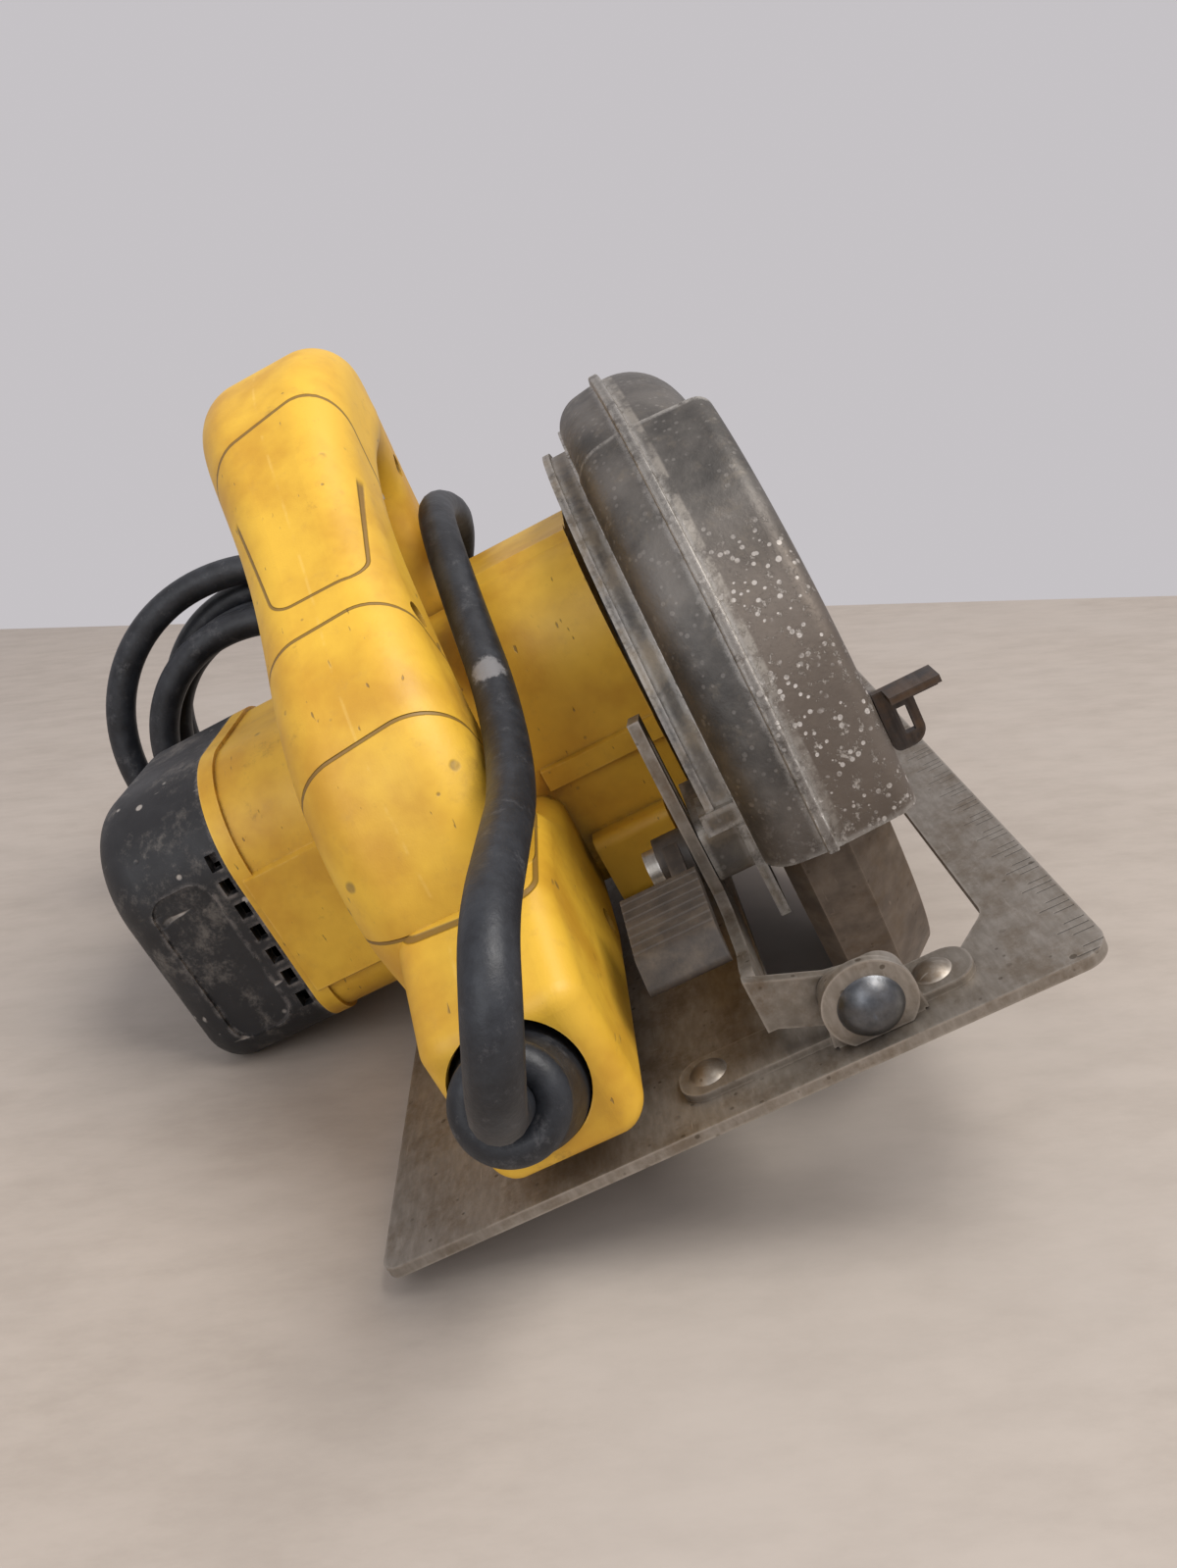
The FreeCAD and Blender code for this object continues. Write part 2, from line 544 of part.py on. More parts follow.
def hood_section(inset, right, crown, right_r, left_r):
    """Hood's section in radius and Y, with a rounded shoulder on each side of the crown."""
    return [(56, right + inset, 0), (crown - 1.5 - inset, right + inset, right_r - inset), (crown - inset,
                                                                                            0, 30),
            (crown - 2.0 - inset, HOOD_LEFT - inset, left_r - inset), (56, HOOD_LEFT - inset, 0)]


def hood_stretch(right, crown, right_r, left_r, span, hollow_span):
    """Solid stretch of the hood between two angles, and the cavity in it, open towards the arbor."""
    solid = sweep_y(hood_section(0, right, crown, right_r, left_r), span[0], span[1] - span[0])
    section = [(40 if u == 56 else u, v, r) for u, v, r in hood_section(HOOD_WALL, right, crown, right_r,
                                                                        left_r)]
    return solid, sweep_y(section, hollow_span[0], hollow_span[1] - hollow_span[0])


def upper_guard():
    web = STEP_ANGLE + 1.5
    rear, rear_cavity = hood_stretch(HOOD_RIGHT, HOOD_R, 5, 9, (STEP_ANGLE, REAR_ANGLE), (web,
                                                                                          REAR_ANGLE + 2))
    front, front_cavity = hood_stretch(HOOD_RIGHT_FRONT, HOOD_R - 0.8, 17, 10,
                                       (FRONT_ANGLE, STEP_ANGLE), (FRONT_ANGLE - 2, web))
    ridge = sweep_y([(HOOD_R - 2, -1.8, 0), (HOOD_R + 1.2, -1.2, 0.5), (HOOD_R + 1.2, 1.2, 0.5),
                     (HOOD_R - 2, 1.8, 0)], FRONT_ANGLE, REAR_ANGLE - FRONT_ANGLE)
    hood = fuse(rear, front, ridge)
    wall = ycyl(0, 0, HOOD_R - 8, HOOD_LEFT - HOOD_WALL, HOOD_LEFT)
    wall = wall.cut(box(-120, 120, 0, 30, -120, -7)).fuse(ycyl(0, 0, 40, HOOD_LEFT - HOOD_WALL, HOOD_LEFT))
    band = sweep_y([(BAND_R - 3, HOOD_LEFT - 0.5, 0), (BAND_R, HOOD_LEFT - 0.5, 0), (BAND_R,
                                                                                     BAND_LEFT - 2, 0),
                    (BAND_R + 1.5, BAND_LEFT - 2, 0), (BAND_R + 1.5, BAND_LEFT, 0), (BAND_R - 3,
                                                                                     BAND_LEFT, 0)],
                   FRONT_ANGLE, REAR_ANGLE - 8 - FRONT_ANGLE)
    foot = sweep_y([(74, HOOD_LEFT - 0.5, 0), (BAND_R + 2.5, HOOD_LEFT - 0.5, 0), (BAND_R + 2.5,
                                                                                   BAND_LEFT + 2, 0),
                    (74, BAND_LEFT + 2, 0)], REAR_ANGLE - 10, 3.5)
    chute = box(-92, -72, HOOD_LEFT - 0.5, HOOD_LEFT + 2, -22, 4)
    hood = fuse(hood, wall, band, foot, chute, front_lug(), depth_clamp_lug())
    hood = hood.cut(rear_cavity).cut(front_cavity)
    hood = hood.cut(ycyl(0, 0, 20.0, 7, 17))
    trim = box(-130, 96, HOOD_RIGHT - 1, HOOD_RIGHT_FRONT + HOOD_WALL + 0.5, -40, -5)
    hood = hood.cut(trim.cut(box(-130, -88, -40, 0, -40, 0)))
    hood = hood.cut(box(-99, -88, HOOD_RIGHT - 1, HOOD_LEFT - HOOD_WALL, -30, -10.5))
    corner = plate_x([(-30, -20, 0), (-30, -0.5, 0), (-22.5, -8, 0), (-17, -13.5, 0), (-17, -20, 0)],
                     -120, -80)
    hood = hood.cut(corner)
    for x, z in GUARD_SCREWS:
        hood = hood.cut(ycyl(x, z, 2.15, 0, HOOD_LEFT + 1))
        hood = hood.cut(ycyl(x, z, 4.1, 0, HOOD_LEFT - HOOD_WALL + 1.3))
    return hood


def front_lug():
    """Front arm of the upper guard, which swings on the depth pivot pin."""
    x, z = DEPTH_PIVOT
    arm = plate_y([(88, 30, 0), (104, 22, 4), (x + 2, z + 7.5, 3), (x, z - 7.5, 3), (96, -14, 0), (86, -9,
                                                                                                   0)],
                  -4.6, HOOD_LEFT + 2.6)
    arm = fuse(arm, ycyl(x, z, 7.5, -4.6, HOOD_LEFT + 2.6))
    arm = arm.cut(ycyl(0, 0, LOWER_R + 1.5, -30, HOOD_LEFT - HOOD_WALL))
    return arm.cut(ycyl(x, z, 4.0 + RUN, -10, 30))


def depth_clamp_lug():
    """Boss behind the band that the depth clamp bolt is fixed in."""
    x, z = DEPTH_LEVER_AXIS
    arm = plate_y([(x - 8, z - 8, 5), (x - 8, z + 8, 5), (x + 18, z + 12, 2), (x + 18, z - 8, 2)],
                  HOOD_LEFT - 1, QUADRANT_Y - GAP)
    return arm.cut(ycyl(x, z, 3.0, HOOD_LEFT + 2.5, QUADRANT_Y))


def lower_guard():
    """Spring-loaded lower guard: channel round the blade's lower half, turning on the gear case nose."""
    channel = sweep_y([(45, -15.5, 0), (87, -15.5, 0), (LOWER_R, -4, 0), (LOWER_R - 0.8, 8, 0), (91, 12, 0),
                       (22, 12, 0), (22, 10.2, 0), (90, 10.2, 0), (93.7, 6.8, 0), (94.3, -4, 0), (85.8,
                                                                                                  -14, 0),
                       (45, -14, 0)], -186, 180)
    hub = ycyl(0, 0, 26, 9.6, 12.4)
    lip = sweep_y([(88, -12.5, 0), (LOWER_R + 0.6, -4, 0), (LOWER_R, 7, 0), (92, 10.5, 0), (94.5, 6.5, 0),
                   (95, -4, 0)], -9, 3)
    whole = fuse(channel, hub, lip)
    whole = whole.cut(ycyl(0, 0, 20.0 + RUN, 9, 13))
    for z in LEVER_RIVETS:
        whole = whole.cut(ycyl(LEVER_RIVET_X, z, 2.0, -18, -13))
    return whole


def guard_lift_lever():
    """Bent steel hook on the blade side that lifts the lower guard."""
    root = plate_y([(-53, -9.5, 2), (-53, 9, 2), (-42.5, 9, 2), (-42.5, -9.5, 2)], -17.5, -15.5)
    riser = box(-54, -52, -24.5, -15.5, -3, 8)
    arm = plate_y([(-54, -3, 0), (-54, 8, 0), (-80, 15, 0), (-90, 17, 0), (-90, 5, 0), (-80, 4, 0)],
                  -24.5, -22.5)
    hook = plate_x([(-31, 3.5, 4), (-31, 19, 0), (-22.5, 19, 0), (-22.5, 3.5, 2)], -92, -90)
    tab = box(-98, -90, -37, -25, 17.2, 19).fuse(box(-92, -90, -37, -22.5, 14.5, 19))
    whole = fuse(root, riser, arm, hook, tab)
    whole = whole.cut(plate_x([(-28.8, 7, 0), (-28.8, 13.5, 0), (-26.4, 13.5, 0), (-26.4, 7, 0)], -93, -89))
    for z in LEVER_RIVETS:
        whole = whole.cut(ycyl(LEVER_RIVET_X, z, 2.0, -20, -15))
    return whole


def guards():
    NODES["upper_guard"] = upper_guard()
    NODES["lower_guard"] = lower_guard()
    NODES["guard_lift_lever"] = guard_lift_lever()
    NODES["guard_lever_rivets"] = group(
        *[rivet(3.6, 1.6, 2.0, 3.5, V(LEVER_RIVET_X, -17.5, z), V(0, 1, 0)) for z in LEVER_RIVETS])
    NODES["guard_retaining_ring"] = yring(0, 0, 16.6, 22.5, 7.2, 8.0).fuse(yring(0, 0, 20.0, 22.5, 8.0, 9.3))
    bumper = sweep_y([(68, 9, 0), (80, 9, 0), (80, HOOD_LEFT - HOOD_WALL, 0), (68, HOOD_LEFT - HOOD_WALL, 0)],
                     -5, 6)
    NODES["guard_bumper"] = bumper
    NODES["guard_return_spring"] = coil_spring(2.6, 0.9, 14, 40, V(-54, 19.4, 14), V(0.3, 0, 0.95))
    head_y = HOOD_LEFT - HOOD_WALL + 1.3
    heads = [screw(4.0, 1.3, 2.1, 7.8, V(x, head_y, z), V(0, 1, 0)) for x, z in GUARD_SCREWS]
    NODES["guard_screws"] = group(*heads)


# ---------------------------------------------------------------- shoe, yoke and clamps

def shoe_plate():
    low = SHOE_TOP - SHOE_T
    plate = plate_z([(SHOE_REAR, SHOE_RIGHT, 7), (SHOE_REAR, SHOE_LEFT, 4), (SHOE_FRONT, SHOE_LEFT, 10),
                     (SHOE_FRONT, SHOE_RIGHT, 10)], low, SHOE_TOP)
    x0, x1, y0, y1 = WINDOW
    plate = plate.cut(plate_z([(x0, y0 + 10, 5), (x0, y1, 5), (x1, y1, 5), (x1, y0, 6), (x0 + 11, y0, 6)],
                              low - 1, SHOE_TOP + 1))
    plate = plate.cut(plate_z([(SHOE_FRONT - 9, -2, 1.5), (SHOE_FRONT - 9, 2, 1.5), (SHOE_FRONT + 5, 6, 0),
                               (SHOE_FRONT + 5, -6, 0)], low - 1, SHOE_TOP + 1))
    bridge = box(FENCE_X[0], FENCE_X[1], FENCE_Y - 8, FENCE_Y + 8, SHOE_TOP - 1, SHOE_TOP + 7)
    slot = box(FENCE_X[0] + 1.8, FENCE_X[1] - 1.8, FENCE_Y - 9, FENCE_Y + 9, SHOE_TOP, SHOE_TOP + 4)
    threaded = zcyl(sum(FENCE_X) / 2, FENCE_Y, 3.0, SHOE_TOP + 3, SHOE_TOP + 8)
    plate = fuse(plate, bridge).cut(slot).cut(threaded)
    for y in (47, -7):
        plate = plate.cut(zcyl(-121, y, 2.5, low - 1, SHOE_TOP + 1))
    return plate


def rear_pivot_bracket():
    """Pressed strip riveted across the back of the shoe, with the upright lug of the bevel pivot."""
    strip = plate_z([(-128, -16, 6), (-128, 54, 6), (-114.5, 54, 6), (-114.5, -16, 6)], SHOE_TOP,
                    SHOE_TOP + 2)
    y, z = BEVEL_AXIS
    lug = plate_x([(y - 11, SHOE_TOP + 0.5, 0), (y - 9, z + 9, 6), (y + 9, z + 9, 6), (y + 11,
                                                                                       SHOE_TOP + 0.5, 0)],
                  -130.2, -127.2)
    collar = xcyl(y, z + 0.5, 10.5, -132.2, -130.2).cut(box(-140, -120, -30, 30, -60, SHOE_TOP + 0.2))
    lug = fuse(lug, collar)
    web = box(-130.2, -126, y - 10, y + 10, SHOE_TOP, SHOE_TOP + 2)
    whole = fuse(strip, lug, web)
    whole = whole.cut(xcyl(y, z, 3.0, -140, -120))
    for rivet_y in (47, -7):
        whole = whole.cut(zcyl(-121, rivet_y, 2.5, SHOE_TOP - 1, SHOE_TOP + 3))
    return whole


def arc_band(r0, r1, a0, a1, y0, y1):
    """Band between two radii and two angles about the depth pivot."""
    px, pz = DEPTH_PIVOT

    def at(r, a):
        return V(px + r * math.cos(math.radians(a)), y0, pz + r * math.sin(math.radians(a)))

    middle = (a0 + a1) / 2
    edges = [Part.Arc(at(r0, a0), at(r0, middle), at(r0, a1)).toShape(),
             Part.LineSegment(at(r0, a1), at(r1, a1)).toShape(),
             Part.Arc(at(r1, a1), at(r1, middle), at(r1, a0)).toShape(),
             Part.LineSegment(at(r1, a0), at(r0, a0)).toShape()]
    return Part.Face(Part.Wire(edges)).extrude(V(0, y1 - y0, 0))


def depth_quadrant():
    """Curved plate beside the guard band, concentric with the depth pivot, with a foot on the bevel axis."""
    px, pz = DEPTH_PIVOT
    lx, lz = DEPTH_LEVER_AXIS
    slot_r = math.hypot(lx - px, lz - pz)
    rest_a = math.degrees(math.atan2(lz - pz, lx - px))
    top_a = rest_a - DEPTH_RANGE
    y0, y1 = QUADRANT_Y, QUADRANT_Y + QUADRANT_T
    plate = arc_band(slot_r - 8, slot_r + 8, top_a - 2.4, rest_a + 4, y0, y1)
    slot = arc_band(slot_r - 3.3, slot_r + 3.3, top_a - 0.3, rest_a + 0.3, y0 - 1, y1 + 1)
    for angle in (math.radians(top_a - 0.3), math.radians(rest_a + 0.3)):
        slot = slot.fuse(ycyl(px + slot_r * math.cos(angle), pz + slot_r * math.sin(angle), 3.3, y0 - 1,
                              y1 + 1))
    by, bz = BEVEL_AXIS
    leg = plate_y([(-84, -12, 0), (-69, -12, 0), (-72, -29, 5), (-120, -31, 4), (-126.9, -27, 0), (-126.9,
                                                                                                   -12, 6),
                   (-106, -18, 8), (-90, -16, 6)], y0, y1)
    foot = plate_x([(by - 5, bz - 5.4, 5), (by - 5.4, bz + 6, 5), (by + 6, bz + 8, 3), (y1, -13, 0), (y1,
                                                                                                      -26, 0),
                    (by + 6, bz - 5.4, 3)], -126.9, -124.4)
    whole = fuse(plate, leg, foot).cut(slot)
    return whole.cut(xcyl(by, bz, 3.0 + RUN, -130, -120))


def front_yoke():
    """Bent yoke on the front bevel pivot that holds the depth pivot pin between two ears."""
    px, pz = DEPTH_PIVOT
    by, bz = BEVEL_AXIS
    face = plate_x([(4.5, -33.5, 5), (-7, -19.5, 4), (-10, 0, 4), (36, 0, 5), (36, -14, 6), (14.5, -33.5, 5)],
                   134.2, 136.7)
    ears = []
    for y0 in (-10.0, 19.5):
        ear = plate_y([(px - 8, pz - 8, 5), (px - 8, pz + 8, 5), (136, pz + 8, 0), (136, pz - 8, 0)], y0,
                      y0 + 2.5)
        ears.append(ear)
    whole = fuse(face, *ears)
    whole = whole.cut(ycyl(px, pz, 4.0, -20, 30))
    whole = whole.cut(xcyl(by, bz, 3.05, 130, 140))
    stud_y, stud_z = bevel_stud()
    return whole.cut(xcyl(stud_y, stud_z, 3.0, 130, 140))


def bevel_stud():
    angle = math.radians(BEVEL_STUD_ANGLE)
    return BEVEL_AXIS[0] + BEVEL_STUD_R * math.cos(angle), BEVEL_AXIS[1] + BEVEL_STUD_R * math.sin(angle)


def bevel_quadrant():
    """Front bevel plate on the shoe with a slot concentric with the bevel axis."""
    y, z = BEVEL_AXIS
    x0, x1 = 137.0, 139.5

    def at(r, a):
        return V(x0, y + r * math.cos(math.radians(a)), z + r * math.sin(math.radians(a)))

    rim = BEVEL_STUD_R + 7
    edges = [Part.Arc(at(rim, 35), at(rim, 70), at(rim, 105)).toShape(),
             Part.LineSegment(at(rim, 105), V(x0, y - 30, SHOE_TOP)).toShape(),
             Part.LineSegment(V(x0, y - 30, SHOE_TOP), V(x0, y + 40, SHOE_TOP)).toShape(),
             Part.LineSegment(V(x0, y + 40, SHOE_TOP), at(rim, 35)).toShape()]
    plate = Part.Face(Part.Wire(edges)).extrude(V(x1 - x0, 0, 0))
    plate = fuse(plate, box(x0, x0 + 12, y - 30, y + 40, SHOE_TOP, SHOE_TOP + 1.6))
    plate = plate.cut(xcyl(y, z, 3.0, 130, 150))
    a0, a1 = BEVEL_STUD_ANGLE - 0.5, BEVEL_STUD_ANGLE + 45.5
    r0, r1 = BEVEL_STUD_R - 3.3, BEVEL_STUD_R + 3.3
    middle = (a0 + a1) / 2
    slot_edges = [Part.Arc(at(r0, a0), at(r0, middle), at(r0, a1)).toShape(),
                  Part.LineSegment(at(r0, a1), at(r1, a1)).toShape(),
                  Part.Arc(at(r1, a1), at(r1, middle), at(r1, a0)).toShape(),
                  Part.LineSegment(at(r1, a0), at(r0, a0)).toShape()]
    slot = Part.Face(Part.Wire(slot_edges)).extrude(V(10, 0, 0)).translated(V(-3, 0, 0))
    for a in (a0, a1):
        end = at(BEVEL_STUD_R, a)
        slot = slot.fuse(xcyl(end.y, end.z, 3.3, 130, 145))
    return plate.cut(slot)


def base():
    NODES["shoe_plate"] = shoe_plate()
    NODES["rear_pivot_bracket"] = rear_pivot_bracket()
    NODES["bracket_rivets"] = group(*[rivet(4.6, 2.0, 2.5, 2 + SHOE_T, V(-121, y, SHOE_TOP + 2), V(0, 0, -1))
                                      for y in (47, -7)])
    NODES["bevel_quadrant"] = bevel_quadrant()
    y, z = BEVEL_AXIS
    rear = rivet(7.3, 4.6, 3.0, 8.0, V(-132.2, y, z), V(1, 0, 0))
    front = rivet(6.0, 2.6, 3.0, 5.5, V(139.5, y, z), V(-1, 0, 0))
    trim = box(-160, 160, -60, 60, -80, SHOE_TOP - SHOE_T)
    NODES["bevel_pivot_rivets"] = group(rear.cut(trim), front.cut(trim))
    NODES["front_yoke"] = front_yoke()
    px, pz = DEPTH_PIVOT
    NODES["depth_pivot_pin"] = fuse(ycyl(px, pz, 4.0, -11.5, 23.5), ycyl(px, pz, 5.0, -13.3, -11.5))
    NODES["depth_quadrant"] = depth_quadrant()
    stud_y, stud_z = bevel_stud()
    NODES["bevel_clamp_bolt"] = fuse(xcyl(stud_y, stud_z, 3.0, 132.2, 150), xcyl(stud_y, stud_z, 5.5,
                                                                                 130.2, 134.2))
    NODES["bevel_clamp_lever"] = bevel_clamp_lever()
    fence_x = sum(FENCE_X) / 2
    stem = zcyl(fence_x, FENCE_Y, 3.0 - RUN, SHOE_TOP + 4.3, SHOE_TOP + 17)
    wing = plate_y([(fence_x - 9, SHOE_TOP + 15, 2), (fence_x - 9, SHOE_TOP + 26, 3), (fence_x + 9,
                                                                                       SHOE_TOP + 26, 3),
                    (fence_x + 9, SHOE_TOP + 15, 2)], FENCE_Y - 2, FENCE_Y + 2)
    NODES["rip_fence_screw"] = fuse(stem, zcyl(fence_x, FENCE_Y, 5.5, SHOE_TOP + 10, SHOE_TOP + 17), wing)


def bevel_clamp_lever():
    """Front clamp lever on the bevel bolt."""
    y, z = bevel_stud()
    hub = xcyl(y, z, 8.0, 139.9, 148.5)
    arm = plate_x([(y - 5, z - 4, 3), (y - 5, z + 5, 3), (y + 27, z + 11, 4), (y + 29, z + 2, 4)], 142.5,
                  148.5)
    return fuse(hub, arm).cut(xcyl(y, z, 3.0 + RUN, 135, 155))


def depth_clamp():
    """Ribbed lever and bolt that clamp the depth quadrant."""
    x, z = DEPTH_LEVER_AXIS
    y0 = QUADRANT_Y + QUADRANT_T + GAP
    hub = ycyl(x, z, 7.5, y0, y0 + 8)
    arm = plate_y([(x - 4, z + 6.5, 2), (x + 4, z + 6.5, 3), (x + 4, z - 6.5, 3), (x - 14, z - 5, 3),
                   (x - 36, z - 4, 2), (x - 36, z, 2), (x - 14, z + 3, 4)], y0 + 2, y0 + 6)
    pad = plate_y([(x - 14, z, 2), (x - 15, z + 4.5, 1.5), (x - 38, z, 4), (x - 43, z - 7, 1.5),
                   (x - 40.5, z - 8.5, 1), (x - 35, z - 4, 3)], y0 - 0.1, y0 + 19.5)
    for i in range(7):
        groove_x = x - 18 - 3.0 * i
        pad = pad.cut(ycyl(groove_x, z + 4.35 - 0.6 * i, 0.7, y0 - 1, y0 + 21))
    NODES["depth_clamp_lever"] = fuse(hub, arm, pad).cut(ycyl(x, z, 3.0 + RUN, y0 - 2, y0 + 12))
    NODES["depth_clamp_bolt"] = fuse(ycyl(x, z, 3.0, HOOD_LEFT + 2.7, y0 + 10), ycyl(x, z, 5.5, y0 + 8.3,
                                                                                     y0 + 11.5))


# ---------------------------------------------------------------- fasteners

def fasteners():
    """Screws of the motor end cap, sunk in its outer face."""
    heads = [screw(3.6, 2.4, 1.95, 22, V(x, CAP_Y1 - 3, z), V(0, -1, 0)) for x, z in CAP_SCREWS]
    NODES["housing_screws"] = group(*heads)


# ---------------------------------------------------------------- cord

def boot_frame():
    """Cord boot's own frame: Z runs out of the handle's foot."""
    return FreeCAD.Placement(BOOT_BASE, FreeCAD.Rotation(V(0, 0, 1), BOOT_DIR))


def cord_boot():
    """Rubber boot in the handle's foot: a tapered sleeve with a rolled rim round the cord."""
    sleeve = Part.makeCylinder(15.0, 8, V(0, 0, -8))
    taper = Part.makeCone(15.0, 10.5, 21)
    rim = Part.makeTorus(8.3, 4.0, V(0, 0, 22))
    core = Part.makeCylinder(CORD_R, BOOT_L)
    boot = fuse(sleeve, taper, rim, core)
    boot.Placement = boot_frame()
    return boot


def cord_tube(points):
    """Round tube along straight runs joined by the largest tangent arcs that the runs allow."""
    edges = []
    here = points[0]
    radii = []
    for i in range(1, len(points) - 1):
        before = points[i] - points[i - 1]
        after = points[i + 1] - points[i]
        reach = 0.45 * min(before.Length, after.Length)
        half_turn = before.getAngle(after) / 2
        radii.append(round(reach / math.tan(half_turn), 1))
        start = points[i] - V(before).normalize() * reach
        end = points[i] + V(after).normalize() * reach
        inward = (V(after).normalize() - V(before).normalize()).normalize()
        middle = points[i] + inward * (radii[-1] / math.cos(half_turn) - radii[-1])
        edges.append(Part.LineSegment(here, start).toShape())
        edges.append(Part.Arc(start, middle, end).toShape())
        here = end
    edges.append(Part.LineSegment(here, points[-1]).toShape())
    path = Part.Wire(edges)
    circle = Part.Wire(Part.makeCircle(CORD_R, points[0], points[1] - points[0]))
    tube = path.makePipeShell([circle], True, False)
    section = math.pi * CORD_R ** 2
    print("cord: length %.0f mm, volume over section times length %.4f, radii %s"
          % (path.Length, tube.Volume / (section * path.Length), radii))
    return tube


def power_plug():
    """Two-blade moulded plug lying on the table; local X runs towards the blades."""
    start, end = V(*TAIL_ROUTE[-2]), V(*TAIL_ROUTE[-1])
    heading = V(end.x - start.x, end.y - start.y, 0)
    place = FreeCAD.Placement(end, FreeCAD.Rotation(V(1, 0, 0), heading))
    relief = Part.makeCone(6.2, 8.0, 18, V(0, 0, 0), V(1, 0, 0))
    corners = [(17, -8, 3), (17, 8, 3), (30, 12, 14), (49, 12, 3), (49, -12, 3), (30, -12, 14)]
    body = Part.Face(outline(corners, lambda u, v: V(u, v, -9.5))).extrude(V(0, 0, 19))
    body = rounded(body, 2.5, lambda b: b.ZLength < 0.01)
    body = fuse(relief, body)
    blades = [Part.makeBox(22, 1.5, 6.3, V(43, y - 0.75, -3.15)) for y in (-6.35, 6.35)]
    body = body.cut(group(*blades))
    pins = group(*blades)
    body.Placement = place
    pins.Placement = place
    return body, pins


def cord():
    """Cord from the boot over the motor housing, the coil that leans on the housing, and the plug."""
    place = REST.multiply(boot_frame())
    exit_points = [place.multVec(V(0, 0, BOOT_L)), place.multVec(V(0, 0, BOOT_L + CORD_EXIT_RUN))]
    main = cord_tube(exit_points + [V(*point) for point in CORD_ROUTE])
    tail = cord_tube([V(*point) for point in TAIL_ROUTE])
    x, y, z = COIL_CENTRE
    outer = Part.makeCylinder(COIL_R[1], COIL_WIDTH, V(x - COIL_WIDTH / 2, y, z), V(1, 0, 0))
    outer = outer.makeFillet(7.0, [e for e in outer.Edges if e.Length > 400])
    inner = Part.makeCylinder(COIL_R[0], COIL_WIDTH + 2, V(x - COIL_WIDTH / 2 - 1, y, z), V(1, 0, 0))
    body, pins = power_plug()
    NODES["cord_boot"] = cord_boot()
    for name, shape in (("power_cord", group(main, tail)), ("cord_coil", outer.cut(inner)),
                        ("power_plug", body), ("plug_pins", pins)):
        shape.Placement = REST.inverse().multiply(shape.Placement)
        NODES[name] = shape


def build():
    NODES["motor_housing"] = motor_housing()
    NODES["motor_end_cap"] = motor_end_cap()
    controls()
    drive()
    guards()
    base()
    depth_clamp()
    fasteners()
    cord()


build()
os.makedirs("parts", exist_ok=True)
for name, shape in NODES.items():
    resting = shape.copy()
    resting.Placement = REST.multiply(resting.Placement)
    resting.exportStep("parts/" + name + ".step")
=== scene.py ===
"""Looks of a worn circular saw on a pale table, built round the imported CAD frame.  Lengths are in metres."""
import json
import math

import bpy
from mathutils import Matrix, Vector


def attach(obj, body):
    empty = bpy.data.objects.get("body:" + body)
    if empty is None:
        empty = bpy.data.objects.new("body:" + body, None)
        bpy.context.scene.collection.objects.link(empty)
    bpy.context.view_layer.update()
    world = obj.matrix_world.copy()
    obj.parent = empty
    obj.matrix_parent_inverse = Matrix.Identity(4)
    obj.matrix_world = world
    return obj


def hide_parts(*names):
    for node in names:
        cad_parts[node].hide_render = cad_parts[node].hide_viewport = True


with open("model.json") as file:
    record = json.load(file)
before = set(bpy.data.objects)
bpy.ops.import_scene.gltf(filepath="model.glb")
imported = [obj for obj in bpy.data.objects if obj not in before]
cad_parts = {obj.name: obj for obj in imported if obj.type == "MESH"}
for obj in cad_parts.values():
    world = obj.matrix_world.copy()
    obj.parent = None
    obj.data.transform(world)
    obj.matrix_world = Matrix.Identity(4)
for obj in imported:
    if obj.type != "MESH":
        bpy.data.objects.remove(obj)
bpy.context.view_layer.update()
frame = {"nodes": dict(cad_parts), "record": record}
nodes = frame["nodes"]

# Camera: low behind the saw, looking forward and down
CAMERA_AT = (-0.36355, -0.01393, 0.20195)
CAMERA_AHEAD = (0.93387, -0.01837, -0.35714)
CAMERA_RIGHT = (-0.04683, -0.99636, -0.07120)
LENS = 28.22

# The saw's own frame, in which its patterns are laid out: millimetres, X forward, Y to the motor, Z up
SAW_ROLL = math.radians(22.867)
SAW_SHIFT = (-10.0, -70.44, 91.104)
MM_PER_M = 1000

# Cord: the route from the boot to the coil, and from the coil to the plug
CORD_RADIUS = 0.00525
CORD_EXIT = (-0.1681, 0.0022, 0.0633)
CORD_ROUTE = [
    (-0.1806, 0.0030, 0.0695), (-0.192, 0.002, 0.082), (-0.193, 0.001, 0.099), (-0.180, 0.001, 0.109),
    (-0.154, -0.001, 0.110), (-0.120, -0.003, 0.109), (-0.085, 0.000, 0.118), (-0.053, 0.008, 0.134),
    (-0.024, 0.015, 0.150), (0.012, 0.018, 0.152), (0.041, 0.013, 0.144), (0.059, 0.017, 0.122),
    (0.062, 0.0275, 0.096),
]
TAIL_ROUTE = [(0.088, 0.099, 0.0065), (0.100, 0.110, 0.0104), (0.118, 0.1145, 0.0104)]

# Coil: it stands on edge, and each stop is a number of turns and the value there
COIL_CENTRE = (0.088, 0.0666)
COIL_STEPS = 16
COIL_START = 166.0
COIL_TURNS = 4.27
COIL_ACROSS = [(0.0, 0.0600), (2.6, 0.0886), (2.85, 0.0886), (3.15, 0.0760), (3.5, 0.0765), (4.1, 0.0885),
               (4.3, 0.0885)]
COIL_RADIUS = [(0.0, 0.0600), (0.3, 0.0500), (0.8, 0.0435), (1.4, 0.0465), (2.0, 0.0430), (2.6, 0.0470),
               (3.1, 0.0605), (4.3, 0.0608)]
COIL_LEAN = [(0.0, 0.0), (0.4, -0.0050), (2.4, -0.0065), (3.0, -0.0005), (4.3, 0.0)]
COIL_OVAL = 0.022
COIL_OVAL_PHASE = 0.9

